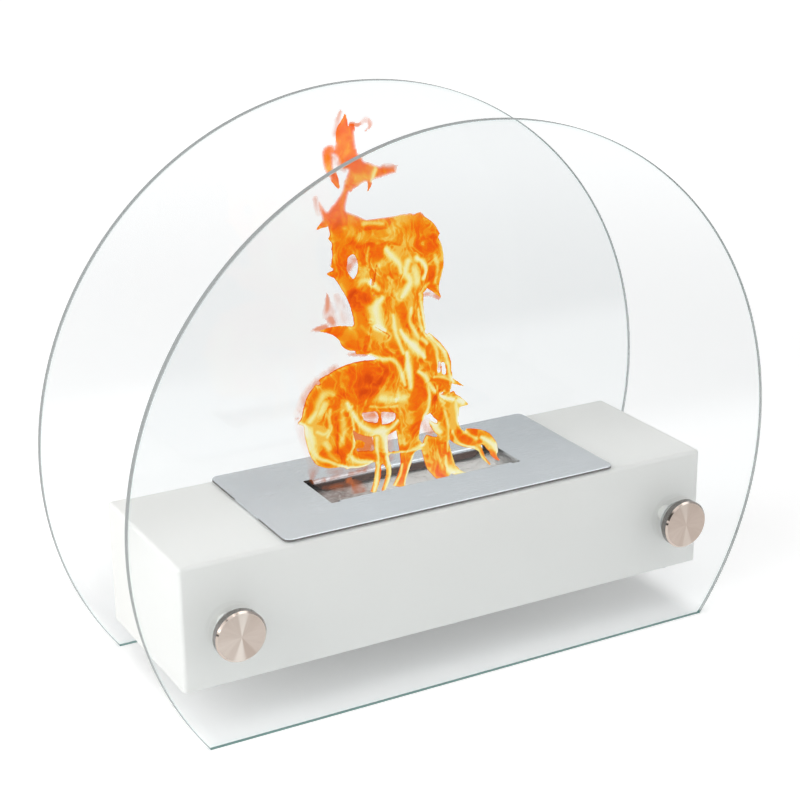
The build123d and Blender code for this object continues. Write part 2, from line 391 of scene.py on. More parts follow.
def glassEdgeSurface(wire):
    # a ground edge: grey where it scatters, clear teal in its depth, darkest at the foot
    grind = noise(objectPlace(wire), scale=1.5)
    foot = smoothStep(axisOf(wire, "Z"), *glass["footTop"])
    smooth, ground = glass["grindRoughness"]
    depth = seeThrough(wire, glass["edgeGlow"], smooth + ground * grind, glass["bend"])
    grey = blendColours(foot, glass["edgeGrey"], glass["footTeal"])
    scatter = principled(wire, {"Base Color": grey, "Roughness": glass["scatterRoughness"]})
    share = glass["scatter"] + glass["footScatter"] * foot
    return throughForLamps(wire, mixShaders(wire, share, depth, scatter), glass["edgeGlow"])


clearPlastic = {
    "colour": (0.93, 0.95, 0.95, 1),
    "tint": (0.9, 0.92, 0.92, 1),
    "roughness": 0.18,
    "cloudRoughness": 0.1,
    "bend": 1.46,
    "clear": 0.8,
}


def clearPlasticSurface(wire):
    cloud = noise(objectPlace(wire), scale=0.8)
    rough = clearPlastic["roughness"] + clearPlastic["cloudRoughness"] * cloud
    shader = seeThrough(wire, clearPlastic["colour"], rough, clearPlastic["bend"], clearPlastic["clear"])
    return throughForLamps(wire, shader, clearPlastic["tint"])


nylon = {
    "dark": (0.80, 0.80, 0.76, 1),
    "light": (0.88, 0.88, 0.85, 1),
    "roughness": 0.42,
    "cloudRoughness": 0.1,
    "softness": 0.2,
    "softDepth": 1.0,
}


def nylonSurface(wire):
    cloud = noise(objectPlace(wire), scale=0.6)
    return principled(wire, {
        "Base Color": blendColours(cloud, nylon["dark"], nylon["light"]),
        "Roughness": nylon["roughness"] + nylon["cloudRoughness"] * cloud,
        "Subsurface Weight": nylon["softness"],
        "Subsurface Scale": nylon["softDepth"] * mm,
    })


woolLook = {
    "hollow": (0.60, 0.58, 0.55, 1),
    "crest": (0.97, 0.95, 0.92, 1),
    "soot": (0.30, 0.20, 0.17, 1),
    "sootShare": 0.85,
    "sootAlong": (-14.0, -44.0),  # X where the painted shade starts and where it is full
    "sootTufts": (0.15, 0.6),
    "tuftShare": 0.55,
    "fibreShare": 0.55,
    "fibreDepth": 0.3,
    "roughness": 0.95,
}


def woolSurface(wire):
    tufts = noise(objectPlace(wire), 0.35, detail=4.0, roughness=0.6, distortion=0.6)
    fibres = noise(objectPlace(wire, (0.4, 3.0, 3.0)), 1.0, detail=4.0, roughness=0.7, distortion=1.2)
    shade = (woolLook["tuftShare"] * tufts + woolLook["fibreShare"] * fibres).clamp()
    clean = blendColours(shade, woolLook["hollow"], woolLook["crest"])
    # painted shade: the wool is darker and browner towards its left end
    soot = smoothStep(axisOf(wire, "X"), *woolLook["sootAlong"]) * smoothStep(tufts, *woolLook["sootTufts"])
    return principled(wire, {
        "Base Color": blendColours(woolLook["sootShare"] * soot, clean, woolLook["soot"]),
        "Roughness": woolLook["roughness"],
        "Normal": bumped(wire, fibres, woolLook["fibreDepth"]),
    })


flameLook = {
    "colours": [
        (0.00, (0.78, 0.075, 0.004, 1)),
        (0.22, (1.0, 0.14, 0.004, 1)),
        (0.42, (1.0, 0.24, 0.004, 1)),
        (0.58, (1.0, 0.42, 0.02, 1)),
        (0.74, (1.0, 0.68, 0.13, 1)),
        (0.88, (1.0, 0.88, 0.35, 1)),
        (1.00, (1.0, 0.97, 0.70, 1)),
    ],
    "strength": 0.98,
    "swirl": 34.0,
    "stretch": (1.0, 0.3, 0.32),
    "upper": (246.0, 262.0),  # heights between which the flame grows thinner and redder
    "level": 0.33,
    "patches": 1.3,
    "ridges": 0.3,
    "fineRidges": 0.14,
    "sharpness": 9.0,
    "range": (0.12, 0.66),
    "upperDim": 0.2,
    "hottest": 0.98,
    "streakFloor": 0.8,
    "streakPatches": 0.4,
    "shade": 0.32,
    # a bright band just inside the rim, as distances from it, and the dark outermost part
    "rimGlow": 0.12,
    "bandIn": (0.3, 0.9),
    "bandOut": (1.2, 2.6),
    "rimDim": 0.4,
    "dimWidth": (0.1, 0.6),
    # how much shows through, at the top and within the rim
    "upperClear": 0.25,
    "rimClear": (0.35, 0.4),
    "rimWidth": (0.7, 2.0),
}


def flameSurface(wire):
    look, place = flameLook, objectPlace(wire)
    swirl = vectorMath(wire, "SCALE", noise(place, scale=0.05, detail=3.0, output=1), look["swirl"])
    warped = vectorMath(wire, "ADD", place, swirl)
    drawnOut = vectorMath(wire, "MULTIPLY", warped, look["stretch"])
    ridge = 1.0 - abs(2.0 * noise(drawnOut, scale=0.15) - 1.0)
    fine = 1.0 - abs(2.0 * noise(drawnOut, scale=0.34, detail=1.0) - 1.0)
    patches = noise(warped, scale=0.055)
    streak, shade, inset = (attribute(wire, name) for name in ("streak", "shade", "inset"))
    upper = smoothStep(axisOf(wire, "Z"), *look["upper"])
    glow = look["level"] + look["patches"] * (patches - 0.5)
    glow = glow + look["ridges"] * ridge ** look["sharpness"] + look["fineRidges"] * fine ** look["sharpness"]
    glow = glow.clamp(*look["range"]) * (1.0 - look["upperDim"] * upper)
    hot = (streak * (look["streakFloor"] + look["streakPatches"] * patches)).clamp()
    glow = glow + (look["hottest"] - glow) * hot - look["shade"] * shade
    band = smoothStep(inset, *look["bandIn"]) * (1.0 - smoothStep(inset, *look["bandOut"]))
    glow = glow + look["rimGlow"] * band * (1.0 - upper)
    glow = (glow - look["rimDim"] * (1.0 - smoothStep(inset, *look["dimWidth"]))).clamp()
    colour = wire.node("ShaderNodeValToRGB", {"stops": look["colours"]}, {"Fac": glow})
    (clearLow, clearUpper), (widthLow, widthUpper) = look["rimClear"], look["rimWidth"]
    fade = 1.0 - smoothStep(inset, 0.0, widthLow + widthUpper * upper)
    solid = (1.0 - look["upperClear"] * upper - fade * (clearLow + clearUpper * upper)).clamp()
    clear = wire.node("ShaderNodeBsdfTransparent")
    return mixShaders(wire, solid, clear, glowing(wire, look["strength"], colour))


hazeLook = {
    "low": (0.84, 0.21, 0.035, 1),
    "high": (0.84, 0.33, 0.20, 1),
    "foot": (0.50, 0.125, 0.03, 1),
    "highFrom": (150.0, 205.0),  # heights where this colour starts and where it is full
    "footFrom": (120.0, 110.0),
    "wisps": (0.3, 0.7),
    "wispFloor": 0.5,
    "densest": 0.95,
}


def flameHazeSurface(wire):
    wisps = noise(objectPlace(wire, (1.0, 1.0, 0.6)), scale=0.16, detail=1.0, distortion=0.5)
    height = axisOf(wire, "Z")
    colour = blendColours(smoothStep(height, *hazeLook["highFrom"]), hazeLook["low"], hazeLook["high"])
    colour = blendColours(smoothStep(height, *hazeLook["footFrom"]), colour, hazeLook["foot"])
    solid = attribute(wire, "haze") * (hazeLook["wispFloor"] + smoothStep(wisps, *hazeLook["wisps"]))
    clear = wire.node("ShaderNodeBsdfTransparent")
    return mixShaders(wire, solid.clamp(0.0, hazeLook["densest"]), clear, glowing(wire, 1.0, colour))


finishes = {
    "powderCoat": finishOf("whitePowderCoat", powderCoatSurface),
    "polishedSteel": finishOf("polishedSteel", polishedSteelSurface),
    "tankSteel": finishOf("tankSteel", plainSteelSurface((0.50, 0.51, 0.52, 1), 0.34)),
    "zincSteel": finishOf("zincSteel", plainSteelSurface((0.62, 0.64, 0.66, 1), 0.4)),
    "glassFace": finishOf("clearGlass", glassFaceSurface),
    "glassEdge": finishOf("groundGlassEdge", glassEdgeSurface),
    "clearPlastic": finishOf("clearPlastic", clearPlasticSurface),
    "nylon": finishOf("whiteNylon", nylonSurface),
    "wool": finishOf("ceramicWool", woolSurface),
    "flame": finishOf("flameGlow", flameSurface),
    "flameHaze": finishOf("flameHaze", flameHazeSurface),
}
print("finishes:", len(finishes))


# helpers for pieces

def place(piece, body, slotName, *nodes):
    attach(piece, body)
    if nodes:
        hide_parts(*nodes)


def paint(mesh, *materials):
    mesh.materials.clear()
    for made in materials:
        mesh.materials.append(made)


def addToScene(name, data):
    holder = bpy.data.objects.new(name, data)
    bpy.context.scene.collection.objects.link(holder)
    return holder


def pieceFrom(name, mesh, *materials):
    paint(mesh, *materials)
    return addToScene(name, mesh)


def solidMesh(piece):
    # the mesh with its modifiers applied, which then go
    dg = bpy.context.evaluated_depsgraph_get()
    mesh = bpy.data.meshes.new_from_object(piece.evaluated_get(dg))
    piece.modifiers.clear()
    piece.data = mesh
    return mesh


def shadeSmooth(mesh):
    mesh.polygons.foreach_set("use_smooth", [True] * len(mesh.polygons))


def smoothed(piece, angle=35.0):
    shadeSmooth(piece.data)
    piece.data.set_sharp_from_angle(angle=math.radians(angle))
    weighted = piece.modifiers.new("weightedNormals", "WEIGHTED_NORMAL")
    weighted.keep_sharp = True
    solidMesh(piece)
    return piece


def remeshed(piece, name, voxel):
    remesh = piece.modifiers.new(name, "REMESH")
    remesh.mode = "VOXEL"
    remesh.voxel_size = voxel * mm


def copyOfNode(node, name, material):
    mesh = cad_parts[node].data.copy()
    work = bmesh.new()
    work.from_mesh(mesh)
    bmesh.ops.remove_doubles(work, verts=work.verts, dist=0.001 * mm)
    work.to_mesh(mesh)
    work.free()
    mesh.attributes.remove(mesh.attributes["custom_normal"])  # sharp edges are found anew
    return smoothed(pieceFrom(name, mesh, material))


# camera

viewpoint = {
    "place": (-0.4737, -0.8572, 0.5006),
    "yaw": 28.56,
    "pitch": -19.92,
    "roll": -0.66,
    "focalPixels": 1818.3,
    "imagePixels": 800,
    "sensor": 36.0,
}


def makeCamera():
    yaw, pitch, roll = (math.radians(viewpoint[k]) for k in ("yaw", "pitch", "roll"))
    ahead = Vector((math.sin(yaw) * math.cos(pitch), math.cos(yaw) * math.cos(pitch), math.sin(pitch)))
    level = ahead.cross(Vector((0, 0, 1))).normalized()
    above = level.cross(ahead)
    right = math.cos(roll) * level + math.sin(roll) * above
    up = math.cos(roll) * above - math.sin(roll) * level
    lens = bpy.data.cameras.new("photoCamera")
    lens.sensor_width = viewpoint["sensor"]
    lens.lens = viewpoint["focalPixels"] * viewpoint["sensor"] / viewpoint["imagePixels"]
    camera = addToScene("photoCamera", lens)
    turn = Matrix((right, up, -ahead)).transposed().to_4x4()
    camera.matrix_world = Matrix.Translation(viewpoint["place"]) @ turn
    bpy.context.scene.camera = camera


makeCamera()


# floor, backdrop and lamps

studio = {
    "worldLevel": 0.5,
    "mirrorDim": 0.2,
    "dimHeadings": (18.0, 38.0),  # degrees to the right of straight back
    # both as mirrors see them, in degrees round their middle
    "flag": {
        "towards": (-0.58, -0.68, 0.44),
        "across": (0.654, -0.716, -0.244),
        "reach": 19.0,
        "width": 2.6,
        "soft": 2.6,
        "depth": 0.97,
    },
    "strip": {"towards": (0.45, -0.32, 0.79), "inner": 9.0, "outer": 20.0, "lift": 1.5},
    "floorGrey": (0.86, 0.86, 0.86, 1),
    "cardInMirrors": {"nearLevel": 0.97, "farLevel": 0.04, "start": 300.0, "end": 400.0},
    "glowInPaintedShadow": 0.11,
    "glowBeyond": 0.4,
    "glowFar": 0.62,
    "farAway": (500.0, 1500.0),
    # distances between which the glow changes from the painted shadow to plain white: beside, in front of and
    # behind the object
    "beside": (150.0, 172.0),
    "inFront": (62.0, 74.0),
    "behind": (80.0, 250.0),
    "floorDrop": 0.05,
    "floorSize": 12.0,
    "lamps": {
        "leftSoftbox": {"from": (-1.05, -0.2, 0.62), "size": 0.9, "watts": 8.0},
        "topSoftbox": {"from": (-0.2, -0.2, 1.8), "size": 1.4, "watts": 5.0},
        "frontSoftbox": {"from": (0.35, -1.7, 0.55), "size": 1.2, "watts": 2.0},
    },
    "aim": (0.0, 0.0, 0.08),
}


def seenRay(wire):
    path = wire.node("ShaderNodeLightPath")
    seen = wire.math("MAXIMUM", path.out("Is Camera Ray"), path.out("Is Glossy Ray"))
    return wire.math("MAXIMUM", seen, path.out("Is Transmission Ray"))


def mirrorRay(wire):
    # 1 on any path that was mirrored on its way
    return wire.math("MINIMUM", wire.node("ShaderNodeLightPath").out("Glossy Depth"), 1.0)


def floorSurface(wire):
    # a painted shadow: greyer under the object and plain white around it, with a dark card in front as
    # mirrors see it
    across, along = abs(axisOf(wire, "X")), axisOf(wire, "Y")
    ends = wire.math("MAXIMUM", smoothStep(-along, *studio["inFront"]), smoothStep(along, *studio["behind"]))
    outsidePaintedShadow = wire.math("MAXIMUM", smoothStep(across, *studio["beside"]), ends)
    far = smoothStep(reachOf(across, along), *studio["farAway"])
    beyond = studio["glowBeyond"] + (studio["glowFar"] - studio["glowBeyond"]) * far
    # less glow under the object paints its shadow on the floor
    level = studio["glowInPaintedShadow"] + (beyond - studio["glowInPaintedShadow"]) * outsidePaintedShadow
    lit = wire.node("ShaderNodeBsdfDiffuse", {}, {"Color": studio["floorGrey"]})
    seen = wire.node("ShaderNodeAddShader", {}, {0: lit, 1: glowing(wire, level * seenRay(wire))})
    card = studio["cardInMirrors"]
    onCard = smoothStep(-along, card["start"], card["end"])
    mirrored = glowing(wire, card["nearLevel"] + (card["farLevel"] - card["nearLevel"]) * onCard)
    return mixShaders(wire, mirrorRay(wire), seen, mirrored)


def skyStrength(wire):
    # white where it is seen; mirrors see a dim part at the rear right, a long dark flag and a bright strip
    ray = wire.node("ShaderNodeTexCoord").out("Generated")
    heading = wire.math("ARCTAN2", ray.axis("X"), ray.axis("Y"))
    dim = studio["mirrorDim"] * smoothStep(heading, *(math.radians(h) for h in studio["dimHeadings"]))

    def degreesFrom(direction):
        lined = vectorMath(wire, "DOT_PRODUCT", ray, Vector(direction).normalized())
        return wire.math("ARCCOSINE", lined) * math.degrees(1.0)

    flag, strip = studio["flag"], studio["strip"]
    aside = abs(degreesFrom(flag["across"]) - 90.0)
    onFlag = smoothStep(degreesFrom(flag["towards"]), flag["reach"] + flag["soft"], flag["reach"])
    onFlag = onFlag * smoothStep(aside, flag["width"] + flag["soft"], flag["width"])
    onStrip = smoothStep(degreesFrom(strip["towards"]), strip["outer"], strip["inner"])
    dim = dim + (flag["depth"] - dim) * onFlag - strip["lift"] * onStrip
    return studio["worldLevel"] + (1.0 - studio["worldLevel"]) * seenRay(wire) - dim * mirrorRay(wire)


def makeStudio():
    half, level = studio["floorSize"] / 2, -studio["floorDrop"] * mm
    mesh = bpy.data.meshes.new("floor")
    corners = [(x * half, y * half, level) for x, y in ((-1, -1), (1, -1), (1, 1), (-1, 1))]
    mesh.from_pydata(corners, [], [(0, 1, 2, 3)])
    pieceFrom("floor", mesh, finishOf("paleFloor", floorSurface))

    world = bpy.data.worlds.new("studioWorld")
    world.use_nodes = True
    world.node_tree.nodes.clear()
    wire = Wire(world.node_tree)
    sky = wire.node("ShaderNodeBackground", {}, {"Color": (1, 1, 1, 1), "Strength": skyStrength(wire)})
    wire.node("ShaderNodeOutputWorld", {}, {"Surface": sky})
    bpy.context.scene.world = world

    for name, lamp in studio["lamps"].items():
        light = bpy.data.lights.new(name, "AREA")
        light.size = lamp["size"]
        light.energy = lamp["watts"]
        holder = addToScene(name, light)
        holder.location = lamp["from"]
        ahead = Vector(studio["aim"]) - Vector(lamp["from"])
        holder.rotation_euler = ahead.to_track_quat("-Z", "Y").to_euler()
    bpy.context.scene.view_settings.view_transform = "Standard"


makeStudio()
print("camera, floor and lamps ready")


# what the Geometry Nodes trees share

def newTree(name, **labels):
    # labels of the named inputs, by the kind of their sockets
    tree = bpy.data.node_groups.new(name, "GeometryNodeTree")
    for kind, names in labels.items():
        for label in names:
            tree.interface.new_socket(name=label, in_out="INPUT", socket_type="NodeSocket" + kind)
    tree.interface.new_socket(name="Geometry", in_out="OUTPUT", socket_type="NodeSocketGeometry")
    wire = Wire(tree)
    return wire, wire.node("NodeGroupInput").out


def endTree(wire, geometry, material):
    whole = wire.node("GeometryNodeRealizeInstances", {}, {"Geometry": geometry})
    painted = wire.node("GeometryNodeSetMaterial", {}, {"Geometry": whole, "Material": material})
    wire.node("NodeGroupOutput", {}, {"Geometry": painted})
    return wire.tree


def setInputs(modifier, tree, values):
    modifier.node_group = tree
    for item in tree.interface.items_tree:
        if item.in_out == "INPUT" and item.name in values:
            modifier[item.identifier] = values[item.name]


def inMetres(table, labels):
    # the lengths of a piece's dictionary under their trees' labels, as headRadius is Head Radius
    return {label: table[label[0].lower() + label[1:].replace(" ", "")] * mm for label in labels}


def grown(name, tree, values):
    piece = pieceFrom(name, bpy.data.meshes.new(name))
    setInputs(piece.modifiers.new(name, "NODES"), tree, values)
    solidMesh(piece)
    piece.data.name = name
    return piece


def positionOf(wire):
    return wire.node("GeometryNodeInputPosition")


def moved(wire, geometry, offset=(0, 0, 0), degrees=(0, 0, 0)):
    turn = tuple(math.radians(angle) for angle in degrees)
    inputs = {"Geometry": geometry, "Translation": offset, "Rotation": turn}
    return wire.node("GeometryNodeTransform", {}, inputs)


def shifted(wire, geometry, offset):
    return wire.node("GeometryNodeSetPosition", {}, {"Geometry": geometry, "Offset": offset})


def joined(wire, *parts):
    return wire.node("GeometryNodeJoinGeometry", {}, {"Geometry": list(parts)})


def merged(wire, geometry, gap):
    return wire.node("GeometryNodeMergeByDistance", {}, {"Geometry": geometry, "Distance": gap * mm})


def ring(wire, corners, radius):
    inputs = {"Resolution": corners, "Radius": radius}
    return wire.node("GeometryNodeCurvePrimitiveCircle", {"mode": "RADIUS"}, inputs)


def tubeAlong(wire, curve, section, sizes=None):
    inputs = {"Curve": curve, "Profile Curve": section, "Fill Caps": True, **(sizes or {})}
    return wire.node("GeometryNodeCurveToMesh", {}, inputs)


def marked(wire, geometry, name, value):
    inputs = {"Geometry": geometry, "Name": name, "Value": value}
    return wire.node("GeometryNodeStoreNamedAttribute", {"data_type": "FLOAT", "domain": "POINT"}, inputs)


def onSheet(wire, vector):
    # the vector without its Y, as in the plane of the flame
    return vectorMath(wire, "MULTIPLY", vector, (1, 0, 1))


# glass panels

glassSizes = {
    "segments": 360,
    "holeSegments": 48,
    "holeRadius": 4.95,
    "arris": 0.5,
    "arrisSteps": 2,
    "arrisAngle": 60.0,
    "smoothAngle": 30.0,
    "flatFacing": 0.99,
    "weld": 0.01,
}


def glassTree():
    labels = ("Radius", "Centre Height", "Thickness", "Hole Radius", "Hole X", "Hole Z")
    wire, given = newTree("glassPanel", Float=labels)
    drop = wire.math("ARCSINE", given("Centre Height") / given("Radius"))
    arc = wire.node("GeometryNodeCurveArc", {"mode": "RADIUS"}, {
        "Resolution": glassSizes["segments"],
        "Radius": given("Radius"),
        "Start Angle": -drop,
        "Sweep Angle": math.pi + 2 * drop,
    })
    closed = wire.node("GeometryNodeSetSplineCyclic", {}, {"Geometry": arc, "Cyclic": True})
    outlines = [moved(wire, closed, combined(wire, y=given("Centre Height")))]
    for side in (-1, 1):
        hole = ring(wire, glassSizes["holeSegments"], given("Hole Radius"))
        outlines.append(moved(wire, hole, combined(wire, given("Hole X") * side, given("Hole Z"))))
    sheet = wire.node("GeometryNodeFillCurve", {"mode": "NGONS"}, {"Curve": joined(wire, *outlines)})
    flipped = wire.node("GeometryNodeFlipFaces", {}, {"Mesh": sheet})
    thickness = combined(wire, z=given("Thickness"))
    inputs = {"Mesh": sheet, "Offset": thickness, "Individual": False}
    thick = wire.node("GeometryNodeExtrudeMesh", {"mode": "FACES"}, inputs)
    whole = merged(wire, joined(wire, thick, flipped), glassSizes["weld"])
    return endTree(wire, moved(wire, whole, degrees=(90, 0, 0)), finishes["glassFace"])


def glassPanel(side, tree):
    low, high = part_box(f"{side}_glass")
    barrel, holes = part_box(f"{side}_right_barrel"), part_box(f"{side}_glass_sleeves")
    piece = grown(f"{side}GlassPanel", tree, {
        "Radius": (high.x - low.x) / 2,
        "Centre Height": high.z - (high.x - low.x) / 2,
        "Thickness": high.y - low.y,
        "Hole Radius": glassSizes["holeRadius"] * mm,
        "Hole X": barrel[0].lerp(barrel[1], 0.5).x,
        "Hole Z": (holes[0].z + holes[1].z) / 2,
    })
    depths = [v.co.y for v in piece.data.vertices]
    middle = (min(depths) + max(depths)) / 2
    piece.data.transform(Matrix.Translation((0, (low.y + high.y) / 2 - middle, 0)))
    arris = piece.modifiers.new("arris", "BEVEL")
    arris.width = glassSizes["arris"] * mm
    arris.segments = glassSizes["arrisSteps"]
    arris.angle_limit = math.radians(glassSizes["arrisAngle"])
    mesh = solidMesh(piece)
    paint(mesh, finishes["glassFace"], finishes["glassEdge"])
    for face in mesh.polygons:
        face.material_index = 0 if abs(face.normal.y) > glassSizes["flatFacing"] else 1
    place(smoothed(piece, glassSizes["smoothAngle"]), "housing", "clear_glass", f"{side}_glass")


panelTree = glassTree()
for side in ("front", "rear"):
    glassPanel(side, panelTree)
print("glass panels ready")


# flame, a weightless mass of tongues in the plane of the slot

